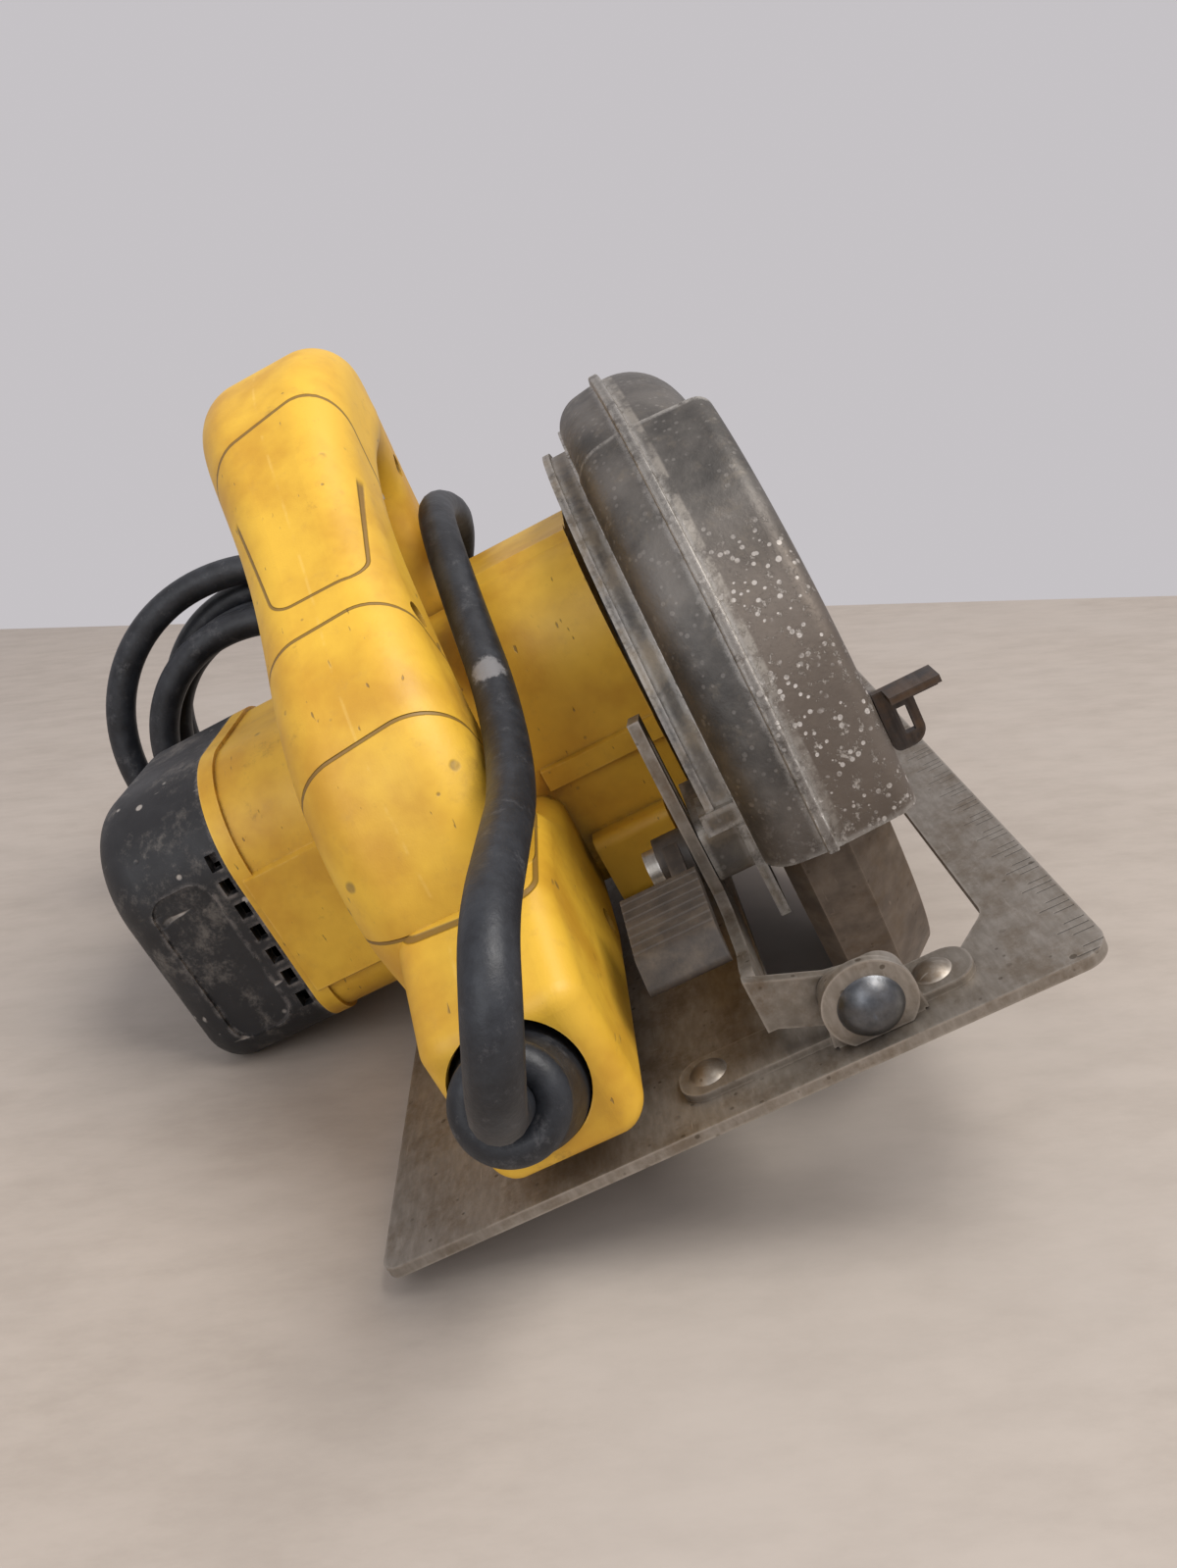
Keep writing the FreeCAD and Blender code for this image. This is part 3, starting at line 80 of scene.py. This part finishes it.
# Table top, seen to a slanting far edge, and the light over it: name, place, size, power and tint
TABLE_HALF = 1.2
TABLE_NEAR = -1.3
TABLE_FAR = 0.52
TABLE_SLANT = 0.232
LIGHTS = [
    ("key", (-0.35, -0.55, 1.35), 0.9, 17.0, (1, 0.97, 0.93)),
    ("fill", (-1.2, 0.7, 0.9), 1.2, 7.0, (0.93, 0.96, 1)),
]
LIGHT_AIM = (0, 0, 0.05)
SKY_COLOUR = (0.66, 0.635, 0.66, 1)
SKY_STRENGTH = 0.85


# --- Cord ---

def track(t, stops):
    """Value at t along a list of (t, value) stops, in straight lines between them."""
    for (t0, v0), (t1, v1) in zip(stops, stops[1:]):
        if t <= t1:
            return v0 + (v1 - v0) * max(0.0, (t - t0) / (t1 - t0))
    return stops[-1][1]


def coil_turns():
    """The coil's turns: three smaller ones side by side, away from the camera, and a wider one round them."""
    points = []
    for i in range(round(COIL_TURNS * COIL_STEPS) + 1):
        t = i / COIL_STEPS
        angle = math.radians(COIL_START) + t * 2 * math.pi
        r = track(t, COIL_RADIUS) * (1 + COIL_OVAL * math.sin(2 * angle + COIL_OVAL_PHASE))
        points.append((track(t, COIL_ACROSS), COIL_CENTRE[0] + track(t, COIL_LEAN) + r * math.cos(angle),
                       COIL_CENTRE[1] + r * math.sin(angle)))
    return points


def make_cord():
    curve = bpy.data.curves.new("mains_cord", "CURVE")
    curve.dimensions = "3D"
    curve.bevel_depth = 1.0  # times each point's radius
    curve.bevel_resolution = 6
    curve.resolution_u = 8
    curve.use_fill_caps = True
    spline = curve.splines.new("NURBS")
    points = [CORD_EXIT] + CORD_ROUTE + coil_turns() + TAIL_ROUTE
    spline.points.add(len(points) - 1)
    for point, place in zip(spline.points, points):
        point.co = (*place, 1.0)
        point.radius = CORD_RADIUS
    spline.order_u = 3
    spline.use_endpoint_u = True
    cord = bpy.data.objects.new("mains_cord", curve)
    bpy.context.scene.collection.objects.link(cord)
    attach(cord, "saw_body")
    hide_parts("power_cord", "cord_coil")
    return cord


# --- Camera ---

def make_camera():
    back = -Vector(CAMERA_AHEAD)
    right = Vector(CAMERA_RIGHT)
    up = back.cross(right)
    data = bpy.data.cameras.new("camera")
    data.sensor_width = 36.0
    data.lens = LENS
    data.clip_start = 0.01
    camera = bpy.data.objects.new("camera", data)
    camera.matrix_world = Matrix.Translation(CAMERA_AT) @ Matrix((right, up, back)).transposed().to_4x4()
    bpy.context.scene.collection.objects.link(camera)
    bpy.context.scene.camera = camera


# --- Materials ---

class Paint:
    """A material whose patterns are laid out in the saw's own frame, in millimetres.
    """

    def __init__(self, name, rough, metal=0.0):
        self.mat = bpy.data.materials.new(name)
        self.mat.use_nodes = True
        self.nodes = self.mat.node_tree.nodes
        self.links = self.mat.node_tree.links
        self.shader = self.nodes["Principled BSDF"]
        self.shader.inputs["Metallic"].default_value = metal
        self.shader.inputs["Roughness"].default_value = rough
        place = self.add("ShaderNodeMapping")
        turn = Matrix.Rotation(SAW_ROLL, 3, "X")
        place.inputs["Location"].default_value = -(turn @ Vector(SAW_SHIFT))
        place.inputs["Rotation"].default_value = (SAW_ROLL, 0, 0)
        place.inputs["Scale"].default_value = [MM_PER_M] * 3
        self.join(self.add("ShaderNodeTexCoord").outputs["Object"], place.inputs["Vector"])
        self.at = place.outputs["Vector"]
        self.colour = None

    def add(self, kind, **settings):
        node = self.nodes.new(kind)
        for key, value in settings.items():
            setattr(node, key, value)
        return node

    def join(self, value, socket):
        if isinstance(value, bpy.types.NodeSocket):
            self.links.new(value, socket)
        else:
            socket.default_value = value

    def math(self, operation, a, b=0.0):
        node = self.add("ShaderNodeMath", operation=operation)
        for value, socket in zip((a, b), node.inputs):
            self.join(value, socket)
        return node.outputs[0]

    def spread(self, value, low, span):
        """low where value is 0, low + span where it is 1."""
        return self.math("ADD", low, self.math("MULTIPLY", value, span))

    def apart(self, value, middle):
        """Distance of value from middle."""
        return self.math("ABSOLUTE", self.math("SUBTRACT", value, middle))

    def dot(self, vector, normal):
        node = self.add("ShaderNodeVectorMath", operation="DOT_PRODUCT")
        self.join(vector, node.inputs[0])
        self.join(normal, node.inputs[1])
        return node.outputs["Value"]

    def along(self, normal):
        """How far a point lies along a direction of the saw's frame, in millimetres."""
        return self.dot(self.at, normal)

    def surface_normal(self):
        return self.add("ShaderNodeNewGeometry").outputs["Normal"]

    def facing(self, normal):
        """Cosine between the surface and a direction of the saw's frame."""
        spin = self.add("ShaderNodeVectorTransform", vector_type="NORMAL", convert_from="WORLD",
                        convert_to="OBJECT")
        self.join(self.surface_normal(), spin.inputs[0])
        return self.dot(spin.outputs[0], Matrix.Rotation(-SAW_ROLL, 3, "X") @ Vector(normal))

    def laid_out(self, grains, shift):
        """The saw's frame divided by a grain along each axis, and shifted."""
        node = self.add("ShaderNodeMapping")
        self.join(self.at, node.inputs["Vector"])
        node.inputs["Scale"].default_value = [1 / grain for grain in grains]
        node.inputs["Location"].default_value = shift
        return node.outputs[0]

    def noise(self, grain, detail=5.0, rough=0.6, stretch=(1, 1, 1), seed=0.0):
        """Noise whose blotches are about grain millimetres across, from 0 to 1."""
        node = self.add("ShaderNodeTexNoise")
        node.inputs["Scale"].default_value = 1.0
        node.inputs["Detail"].default_value = detail
        node.inputs["Roughness"].default_value = rough
        self.join(self.laid_out([grain * s for s in stretch], (seed, seed * 1.7, seed * 0.6)),
                  node.inputs["Vector"])
        return node.outputs["Fac"]

    def patches(self, grain, low, high, detail=5.0, rough=0.6, stretch=(1, 1, 1), seed=0.0):
        """Blotches of noise, cut off below low and whole above high."""
        return self.ramp(self.noise(grain, detail, rough, stretch, seed), low, high)

    def specks(self, spacing, size, seed=0.0):
        """Small round dots, one in each cell about spacing millimetres wide, with uneven sizes."""
        node = self.add("ShaderNodeTexVoronoi")
        node.inputs["Scale"].default_value = 1.0
        self.join(self.laid_out([spacing] * 3, (seed, seed, seed)), node.inputs["Vector"])
        edge = self.math("MULTIPLY", self.noise(spacing * 2.3, 2.0, seed=seed + 3), 2 * size / spacing)
        return self.ramp(self.math("SUBTRACT", edge, node.outputs["Distance"]), 0.0, 0.06)

    def scratches(self, grain, stretch, amount, seed):
        """Thin streaks, long along one axis."""
        return self.patches(grain, 0.70 - amount, 0.76 - amount, 2.0, 0.5, stretch, seed)

    def ramp(self, value, low, high):
        """0 where value is at low and 1 where it is at high, which may be the lesser."""
        node = self.add("ShaderNodeMapRange", interpolation_type="SMOOTHSTEP")
        self.join(value, node.inputs["Value"])
        node.inputs["From Min"].default_value = low
        node.inputs["From Max"].default_value = high
        return node.outputs[0]

    def band(self, value, middle, half):
        """1 where value is within half of middle."""
        return self.ramp(self.apart(value, middle), half, half * 0.45)

    def both(self, *masks):
        result = masks[0]
        for mask in masks[1:]:
            result = self.math("MULTIPLY", result, mask)
        return result

    def either(self, *masks):
        result = masks[0]
        for mask in masks[1:]:
            result = self.math("MAXIMUM", result, mask)
        return result

    def edges(self, radius):
        """1 on sharp edges within radius metres, 0 on open faces."""
        soft = self.add("ShaderNodeBevel", samples=4)
        soft.inputs["Radius"].default_value = radius
        same_way = self.dot(soft.outputs[0], self.surface_normal())
        return self.ramp(self.math("SUBTRACT", 1.0, same_way), 0.01, 0.10)

    def corners(self, reach):
        """1 deep in inner corners, 0 in the open, looking reach metres round."""
        node = self.add("ShaderNodeAmbientOcclusion", samples=4)
        node.inputs["Distance"].default_value = reach
        return self.ramp(node.outputs["AO"], 0.85, 0.25)

    def mix(self, mask, a, b):
        node = self.add("ShaderNodeMix", data_type="RGBA")
        self.join(mask, node.inputs["Factor"])
        for value, socket in ((a, node.inputs[6]), (b, node.inputs[7])):
            self.join(value if isinstance(value, bpy.types.NodeSocket) else (*value, 1.0), socket)
        return node.outputs[2]

    def base(self, mask, low, high):
        self.colour = self.mix(mask, low, high)

    def coat(self, colour, *masks):
        """Lays a colour over what is there, where all the masks meet."""
        self.colour = self.mix(self.both(*masks), self.colour, colour)

    def finish(self, rough=None, heights=()):
        """Sets the colour, the roughness and a bump from (height, millimetres) pairs."""
        self.join(self.colour, self.shader.inputs["Base Color"])
        if rough is not None:
            self.join(rough, self.shader.inputs["Roughness"])
        total = None
        for height, size in heights:
            part = self.math("MULTIPLY", height, size / MM_PER_M)
            total = part if total is None else self.math("ADD", total, part)
        if total is not None:
            bump = self.add("ShaderNodeBump")
            bump.inputs["Distance"].default_value = 1.0
            self.join(total, bump.inputs["Height"])
            self.join(bump.outputs[0], self.shader.inputs["Normal"])
        return self.mat


# Rings round the handle: a plane's normal and place, then the direction and the place past which it shows
HANDLE_RINGS = [
    ((0.976, 0.214, -0.043), -5.94, (0, 0, 1), 96),
    ((0.931, 0.062, 0.359), -31.05, (-1, 0, 1), 95),
    ((0.858, 0.092, 0.504), -43.05, (-1, 0, 0.6), 90),
    ((0, -0.04, 1.0), 19.5, (-1, 0, 0), 60),
]
RING_HALF = 0.55

# Panel outlined on the back of the grip, between its first two rings
PANEL_UP = (0.766, 0, 0.643)
PANEL_OUT = (-0.64, 0, 0.77)
PANEL_MIDDLE = 81.0  # across the saw
PANEL_HALF = 11.3  # half its width, where it is lowest
PANEL_FLARE = 0.11  # and how fast that grows on the way up
PANEL_FOOT = 10.4
PANEL_FADE = (46.0, 42.0)
PANEL_CORNER = 5.0
PANEL_LINE_HALF = 0.5


def panel_groove(p):
    """Outline of the panel, round at its lower corners."""
    climb = p.along(PANEL_UP)
    side = p.apart(p.along((0, 1, 0)), PANEL_MIDDLE)
    beside = p.math("SUBTRACT", side, p.spread(climb, PANEL_HALF - PANEL_CORNER, PANEL_FLARE))
    below = p.math("SUBTRACT", PANEL_FOOT + PANEL_CORNER, climb)
    squares = [p.math("POWER", p.math("MAXIMUM", gap, 0.0), 2.0) for gap in (beside, below)]
    outside = p.math("SQRT", p.math("ADD", *squares))
    inside = p.math("MINIMUM", p.math("MAXIMUM", beside, below), 0.0)
    line = p.band(p.math("ADD", inside, outside), PANEL_CORNER, PANEL_LINE_HALF)
    return p.both(line, p.ramp(p.facing(PANEL_OUT), 0.0, 0.08), p.ramp(climb, *PANEL_FADE))


def handle_grooves(p):
    """Grooves round the handle, and the panel on its grip."""
    rings = []
    for normal, place, way, start in HANDLE_RINGS:
        ring = p.band(p.along(normal), place, RING_HALF)
        rings.append(p.both(ring, p.ramp(p.along(way), start - 1, start + 1)))
    return p.either(*rings, panel_groove(p))


YELLOW = (0.76, 0.455, 0.038)
YELLOW_DEEP = (0.58, 0.30, 0.020)
YELLOW_RUBBED = (0.50, 0.27, 0.04)
YELLOW_PALE = (0.92, 0.66, 0.20)
# Dark grime, also laid into inner corners as painted shade
GRIME_AND_CORNER_SHADE = (0.16, 0.085, 0.022)
# Dirt in the handle's grooves, and painted shade in the housing's creases
GROOVE_DIRT_AND_CREASE_SHADE = (0.14, 0.075, 0.02)
NICK = (0.10, 0.07, 0.04)


def yellow_plastic(name, grooves):
    """Moulded yellow nylon: fine grain, grime in the grooves and corners with painted shade in the corners and
    creases, dark nicks and rubbed patches.
    """
    p = Paint(name, 0.42)
    # Without grooves the lines are creases found by occlusion, darkened below as painted shade with some grime
    lines = handle_grooves(p) if grooves else p.both(p.corners(0.004), p.patches(9, 0.35, 0.6))
    nicks = p.either(p.both(p.specks(6.5, 0.62), p.patches(19, 0.50, 0.60, seed=3)),
                     p.both(p.specks(15.0, 1.5, 4.0), p.patches(31, 0.48, 0.56, seed=4)),
                     p.scratches(1.5, (9, 1, 3), -0.01, 6.0))
    p.base(p.patches(26, 0.35, 0.72, 4), YELLOW, YELLOW_DEEP)
    p.coat(YELLOW_RUBBED, p.patches(6, 0.52, 0.78, 7, 0.7, seed=2), 0.42)
    p.coat(GRIME_AND_CORNER_SHADE, p.patches(13, 0.60, 0.74, 8, 0.75, seed=9), 0.45)
    # Inner corners darkened by occlusion: painted shade, with some grime
    p.coat(GRIME_AND_CORNER_SHADE, p.corners(0.009), p.patches(11, 0.25, 0.65, seed=5), 0.8)
    p.coat(NICK, nicks, 0.62)
    p.coat(YELLOW_PALE, p.edges(0.0009), p.patches(7, 0.45, 0.6, seed=7), 0.35)
    # Dark grooves on the handle; on the housing, painted shade in the creases
    p.coat(GROOVE_DIRT_AND_CREASE_SHADE, lines, 0.80)
    return p.finish(p.spread(p.noise(17, 6, 0.7, seed=8), 0.36, 0.28),
                    [(p.noise(0.55, 2.0, 0.5), 0.030), (p.noise(3.0, 3.0), 0.05), (lines, -0.55),
                     (nicks, -0.10)])


BLACK = (0.008, 0.008, 0.0095)
BLACK_WORN = (0.020, 0.020, 0.022)
SCUFF = (0.105, 0.095, 0.085)
SCUFFED_EDGE = (0.30, 0.27, 0.25)
CHIP = (0.34, 0.31, 0.28)


def black_plastic(name, scuffs):
    """Matt black moulding, scuffed grey on its corners, by an amount from 0 to 1."""
    p = Paint(name, 0.5)
    chips = p.either(p.specks(9.0, 1.1, 2.0), p.scratches(1.3, (2, 12, 3), 0.01, 3.0))
    p.base(p.patches(14, 0.3, 0.8), BLACK, BLACK_WORN)
    p.coat(SCUFF, p.patches(16, 0.50, 0.66, 9, 0.8, seed=4), scuffs)
    p.coat(SCUFFED_EDGE, p.edges(0.0022), p.patches(5, 0.42, 0.62, 6, 0.7, seed=1), 0.55 * scuffs + 0.1)
    p.coat(CHIP, chips, p.patches(24, 0.42, 0.60, seed=6), scuffs)
    return p.finish(p.spread(p.noise(9, 7, 0.7, seed=3), 0.36, 0.34),
                    [(p.noise(0.6, 2.0), 0.035), (p.noise(5, 6, 0.7), 0.12), (chips, -0.12)])


CASTING_DARK = (0.055, 0.051, 0.047)
CASTING_GREY = (0.150, 0.137, 0.124)
CASTING_BROWN = (0.17, 0.145, 0.115)
CASTING_REAR = (0.165, 0.130, 0.102)
CASTING_RUBBED = (0.46, 0.42, 0.38)
CASTING_FLECK = (0.60, 0.56, 0.52)
CASTING_BAND = (0.235, 0.185, 0.125)
CASTING_EDGE = (0.50, 0.475, 0.44)
# Pale line along the ridge: a painted highlight, partly rubbed paint
CASTING_RIDGE_PAINTED_HIGHLIGHT = (0.34, 0.31, 0.27)
DUST = (0.42, 0.36, 0.28)


def grey_casting(name):
    """Dark die casting: paint rubbed through to pale metal on edges and at the rear, a painted highlight with
    some rubbed paint along the ridge, dust in hollows.
    """
    p = Paint(name, 0.48, 0.55)
    across = (0, 1, 0)
    rear_face = p.both(p.ramp(p.along((-1, 0, 0)), 68, 98), p.ramp(p.along((0, -1, 0)), -3, 4))
    rear_foot = p.both(p.ramp(p.along((-1, 0, -0.35)), 92, 106), 0.5)
    rear = p.either(rear_face, rear_foot)
    rubbed = p.both(p.patches(3.2, 0.545, 0.585, 10, 0.85, seed=11), rear, 0.85)
    flecks = p.both(p.specks(2.2, 0.62, 1.0), p.patches(12, 0.42, 0.56, 5, 0.7, seed=5),
                    p.spread(rear, 0.12, 0.75))
    p.base(p.patches(22, 0.32, 0.70, 6), CASTING_DARK, CASTING_GREY)
    p.coat(CASTING_BROWN, p.patches(5, 0.50, 0.70, 8, 0.75, seed=3), 0.5)
    p.coat(CASTING_REAR, rear, 0.7)
    p.coat(CASTING_RUBBED, rubbed)
    p.coat(CASTING_FLECK, flecks)
    p.coat(CASTING_BAND, p.ramp(p.along(across), 14, 17), p.patches(15, 0.40, 0.62, 7, 0.7, seed=6), 0.75)
    p.coat(DUST, p.corners(0.010), p.patches(8, 0.30, 0.60, 6, seed=8), 0.65)
    p.coat(CASTING_EDGE, p.edges(0.0030), p.patches(5, 0.36, 0.54, 8, 0.8, seed=7), 0.9)
    # Painted highlight along the ridge, with some rubbed paint
    p.coat(CASTING_RIDGE_PAINTED_HIGHLIGHT, p.band(p.along(across), -3.2, 1.4), p.patches(9, 0.40, 0.58, 7, 0.75, seed=2), 0.7)
    return p.finish(p.spread(p.noise(7, 8, 0.7, seed=4), 0.34, 0.36),
                    [(p.noise(1.1, 3.0, 0.6), 0.10), (p.noise(6, 6, 0.7), 0.16), (rubbed, -0.10),
                     (flecks, -0.12)])


# Marks of a scale along the shoe's outer edge: the pitch and length of each row, and the edge's place
TICK_ROWS = ((5.0, 4.0), (10.0, 6.5))
TICK_EDGE = -40.6
TICK_OFFSET = 500.0  # keeps the count above zero over the whole shoe


def scale_ticks(p):
    """Short strokes square to the edge, on the shoe's upper face."""
    x = p.math("ADD", p.along((1, 0, 0)), TICK_OFFSET)
    y = p.along((0, 1, 0))
    strokes = []
    for pitch, reach in TICK_ROWS:
        near = p.apart(p.math("MODULO", x, pitch), pitch / 2)
        strokes.append(p.both(p.ramp(near, 0.30, 0.12), p.ramp(y, TICK_EDGE + reach + 0.4, TICK_EDGE + reach),
                              p.ramp(y, TICK_EDGE - 0.6, TICK_EDGE - 0.2)))
    return p.both(p.either(*strokes), p.ramp(p.facing((0, 0, 1)), 0.7, 0.9))


def bare_metal(name, low, high, stain, rough=0.30, spread=0.30, metal=0.8, stained=0.6, ticks=False,
               lay=(10, 1, 10)):
    """Worn metal: rolled or ground streaks as long as lay says, stains, inner corners darkened with dirt and
    painted shade, rubbed edges.

    low and high are its colours, rough its least roughness with spread above it, and stained is from 0 to 1.
    """
    p = Paint(name, 0.4, metal)
    bright = [min(1.0, 1.35 * c) for c in high]
    spots = p.both(p.specks(4.0, 0.7, 3.0), p.patches(20, 0.42, 0.60, seed=2), stained)
    lines = p.either(p.scratches(0.9, (14, 1, 6), -0.015, 1.0), p.scratches(0.9, (1.5, 12, 6), -0.02, 6.0))
    p.base(p.patches(1.2, 0.30, 0.75, 4, 0.6, lay), low, high)
    p.coat(stain, p.patches(13, 0.44, 0.68, 9, 0.75, seed=5), stained)
    p.coat([0.45 * c for c in stain], spots)
    # Inner corners darkened by occlusion: painted shade, with some dirt
    p.coat([0.5 * c for c in stain], p.corners(0.007), p.patches(7, 0.25, 0.6, 6, seed=8), 0.7)
    p.coat(bright, lines, 0.55)
    p.coat(bright, p.edges(0.0011), p.patches(5, 0.30, 0.55, 5, seed=4), 0.8)
    heights = [(p.noise(0.8, 3, 0.6, lay), 0.035), (p.noise(6, 6, 0.7, seed=2), 0.09), (spots, -0.06)]
    if ticks:
        marks = scale_ticks(p)
        p.coat([0.25 * c for c in low], marks, 0.7)
        heights.append((marks, -0.12))
    return p.finish(p.spread(p.noise(8, 8, 0.75, seed=9), rough, spread), heights)


# A dab of pale paint on the cord, in the saw's frame: its middle, the reach of its ragged edge, and its fade
DAB_AT = (-72.0, 53.8, 59.6)
DAB_RAGGED = 7.0
DAB_FADE = (8.3, 6.6)
DAB_COLOUR = (0.40, 0.39, 0.39)

RUBBER = (0.007, 0.008, 0.011)
RUBBER_WORN = (0.022, 0.025, 0.031)
RUBBER_SCUFF = (0.10, 0.10, 0.105)


def black_rubber(name, paint_dab=False):
    """Matt rubber of the cord: faint unevenness and dusty scuffs, and where asked a dab of pale paint."""
    p = Paint(name, 0.5)
    p.base(p.patches(9, 0.35, 0.72, 6, 0.7), RUBBER, RUBBER_WORN)
    p.coat(RUBBER_SCUFF, p.patches(7, 0.54, 0.68, 9, 0.8, seed=4), 0.5)
    if paint_dab:
        away = p.add("ShaderNodeVectorMath", operation="DISTANCE")
        p.join(p.at, away.inputs[0])
        away.inputs[1].default_value = DAB_AT
        ragged = p.math("MULTIPLY", p.noise(2.5, 6, 0.8, seed=1), DAB_RAGGED)
        p.coat(DAB_COLOUR, p.ramp(p.math("ADD", away.outputs["Value"], ragged), *DAB_FADE), 0.42)
    return p.finish(p.spread(p.noise(6, 7, 0.7, seed=8), 0.34, 0.30),
                    [(p.noise(0.7, 3.0), 0.03), (p.noise(7, 5, 0.6, seed=2), 0.35)])


def wound_copper(name):
    """Enamelled copper wire, in close turns."""
    p = Paint(name, 0.3, 0.7)
    strands = p.noise(0.7, 2, 0.5, (1, 30, 1))
    p.base(strands, (0.30, 0.10, 0.03), (0.72, 0.34, 0.14))
    return p.finish(heights=[(strands, 0.2)])


def table_material():
    """Pale boards with a faint grain across the view."""
    p = Paint("table_top", 0.62)
    p.base(p.patches(14, 0.3, 0.75, 6, 0.7, (1, 14, 1)), (0.44, 0.385, 0.335), (0.375, 0.325, 0.28))
    p.coat((0.47, 0.42, 0.375), p.patches(160, 0.4, 0.7, 5), 0.5)
    return p.finish(heights=[(p.noise(4, 5, 0.6, (1, 10, 1)), 0.05)])


# Metals, and the levers' dusty plastic, by the slot that they fill
METALS = {
    "brown_guard": dict(name="stained_guard", low=(0.115, 0.090, 0.070), high=(0.20, 0.160, 0.125),
                        stain=(0.12, 0.080, 0.045), rough=0.36, metal=0.5, stained=0.7, lay=(6, 6, 6)),
    "lever_plastic": dict(name="dusty_lever", low=(0.030, 0.024, 0.020), high=(0.060, 0.047, 0.037),
                          stain=(0.13, 0.100, 0.07), rough=0.40, spread=0.28, metal=0.1, stained=0.5,
                          lay=(5, 5, 5)),
    "shoe_steel": dict(name="worn_shoe", low=(0.27, 0.240, 0.205), high=(0.36, 0.325, 0.285),
                       stain=(0.18, 0.138, 0.095), spread=0.34, metal=0.75, stained=0.75, ticks=True,
                       lay=(5, 1.5, 5)),
    "blade_steel": dict(name="ground_steel", low=(0.36, 0.36, 0.36), high=(0.55, 0.55, 0.55),
                        stain=(0.25, 0.20, 0.16), rough=0.22, spread=0.26, metal=0.95, stained=0.35),
    "black_steel": dict(name="black_steel", low=(0.030, 0.025, 0.023), high=(0.065, 0.055, 0.050),
                        stain=(0.13, 0.075, 0.04), spread=0.32, metal=0.6),
    "bright_steel": dict(name="plated_steel", low=(0.34, 0.325, 0.30), high=(0.50, 0.48, 0.45),
                         stain=(0.20, 0.16, 0.11), rough=0.24, metal=0.9, stained=0.5),
    "core_steel": dict(name="laminations", low=(0.10, 0.10, 0.11), high=(0.24, 0.24, 0.25),
                       stain=(0.10, 0.06, 0.04), rough=0.35, spread=0.25, stained=0.4, lay=(8, 0.6, 8)),
    "bronze": dict(name="sintered_bronze", low=(0.40, 0.26, 0.10), high=(0.56, 0.38, 0.17),
                   stain=(0.20, 0.12, 0.05), rough=0.35, spread=0.25, metal=0.9, stained=0.4),
    "plug_metal": dict(name="plated_brass", low=(0.62, 0.56, 0.36), high=(0.80, 0.74, 0.52),
                       stain=(0.35, 0.27, 0.14), rough=0.20, spread=0.22, metal=0.95, stained=0.3),
}

# Metals of single nodes
DARK_DOME = dict(name="dark_dome", low=(0.085, 0.090, 0.098), high=(0.150, 0.155, 0.165),
                 stain=(0.10, 0.085, 0.07), rough=0.26, spread=0.22, metal=0.9, stained=0.4, lay=(3, 3, 3))
DULL_STEEL = dict(name="dull_steel", low=(0.20, 0.175, 0.145), high=(0.30, 0.270, 0.235),
                  stain=(0.15, 0.105, 0.065), rough=0.34, metal=0.7, stained=0.8, lay=(3, 3, 3))


def paint_nodes():
    """Gives every CAD node the material of its slot, and a few nodes one of their own."""
    by_slot = {slot: bare_metal(**settings) for slot, settings in METALS.items()}
    by_slot.update({
        "yellow_plastic": yellow_plastic("housing_nylon", grooves=False),
        "black_plastic": black_plastic("matt_black", 0.25),
        "grey_casting": grey_casting("worn_casting"),
        "copper": wound_copper("copper_wire"),
        "carbon": black_plastic("pressed_carbon", 0.4),
        "black_rubber": black_rubber("black_rubber"),
    })
    handle = yellow_plastic("handle_nylon", grooves=True)
    dull = bare_metal(**DULL_STEEL)
    by_node = {
        "handle_shell_left": handle,
        "handle_shell_right": handle,
        "motor_end_cap": black_plastic("scuffed_black", 1.0),
        "bevel_pivot_rivets": bare_metal(**DARK_DOME),
        "bracket_rivets": dull,
        "depth_quadrant": dull,
    }
    slots = {part["node"]: part["material_slot"] for part in frame["record"]["subparts"]}
    for name, node in nodes.items():
        material = by_node.get(name) or by_slot[slots[name]]
        node.data.materials.clear()
        node.data.materials.append(material)


# --- Surroundings ---

def make_table():
    mesh = bpy.data.meshes.new("table_top")
    far_edge = [(TABLE_FAR + TABLE_SLANT * y, y, 0) for y in (-TABLE_HALF, TABLE_HALF)]
    near_edge = [(TABLE_NEAR, TABLE_HALF, 0), (TABLE_NEAR, -TABLE_HALF, 0)]
    mesh.from_pydata(near_edge + far_edge, [], [(0, 1, 2, 3)])
    floor = bpy.data.objects.new("table_top", mesh)
    floor.data.materials.append(table_material())
    bpy.context.scene.collection.objects.link(floor)


def make_light():
    """Pale surroundings and soft light from above."""
    world = bpy.data.worlds.new("studio")
    world.use_nodes = True
    sky = world.node_tree.nodes["Background"]
    sky.inputs["Color"].default_value = SKY_COLOUR
    sky.inputs["Strength"].default_value = SKY_STRENGTH
    bpy.context.scene.world = world
    for name, at, size, power, tint in LIGHTS:
        data = bpy.data.lights.new(name, "AREA")
        data.shape = "DISK"
        data.size = size
        data.energy = power
        data.color = tint
        light = bpy.data.objects.new(name, data)
        light.location = at
        light.rotation_euler = (Vector(LIGHT_AIM) - Vector(at)).to_track_quat("-Z", "Y").to_euler()
        bpy.context.scene.collection.objects.link(light)
    bpy.context.scene.view_settings.view_transform = "Standard"


make_camera()
cord = make_cord()
make_table()
make_light()
paint_nodes()
cord.data.materials.append(black_rubber("cord_rubber", paint_dab=True))
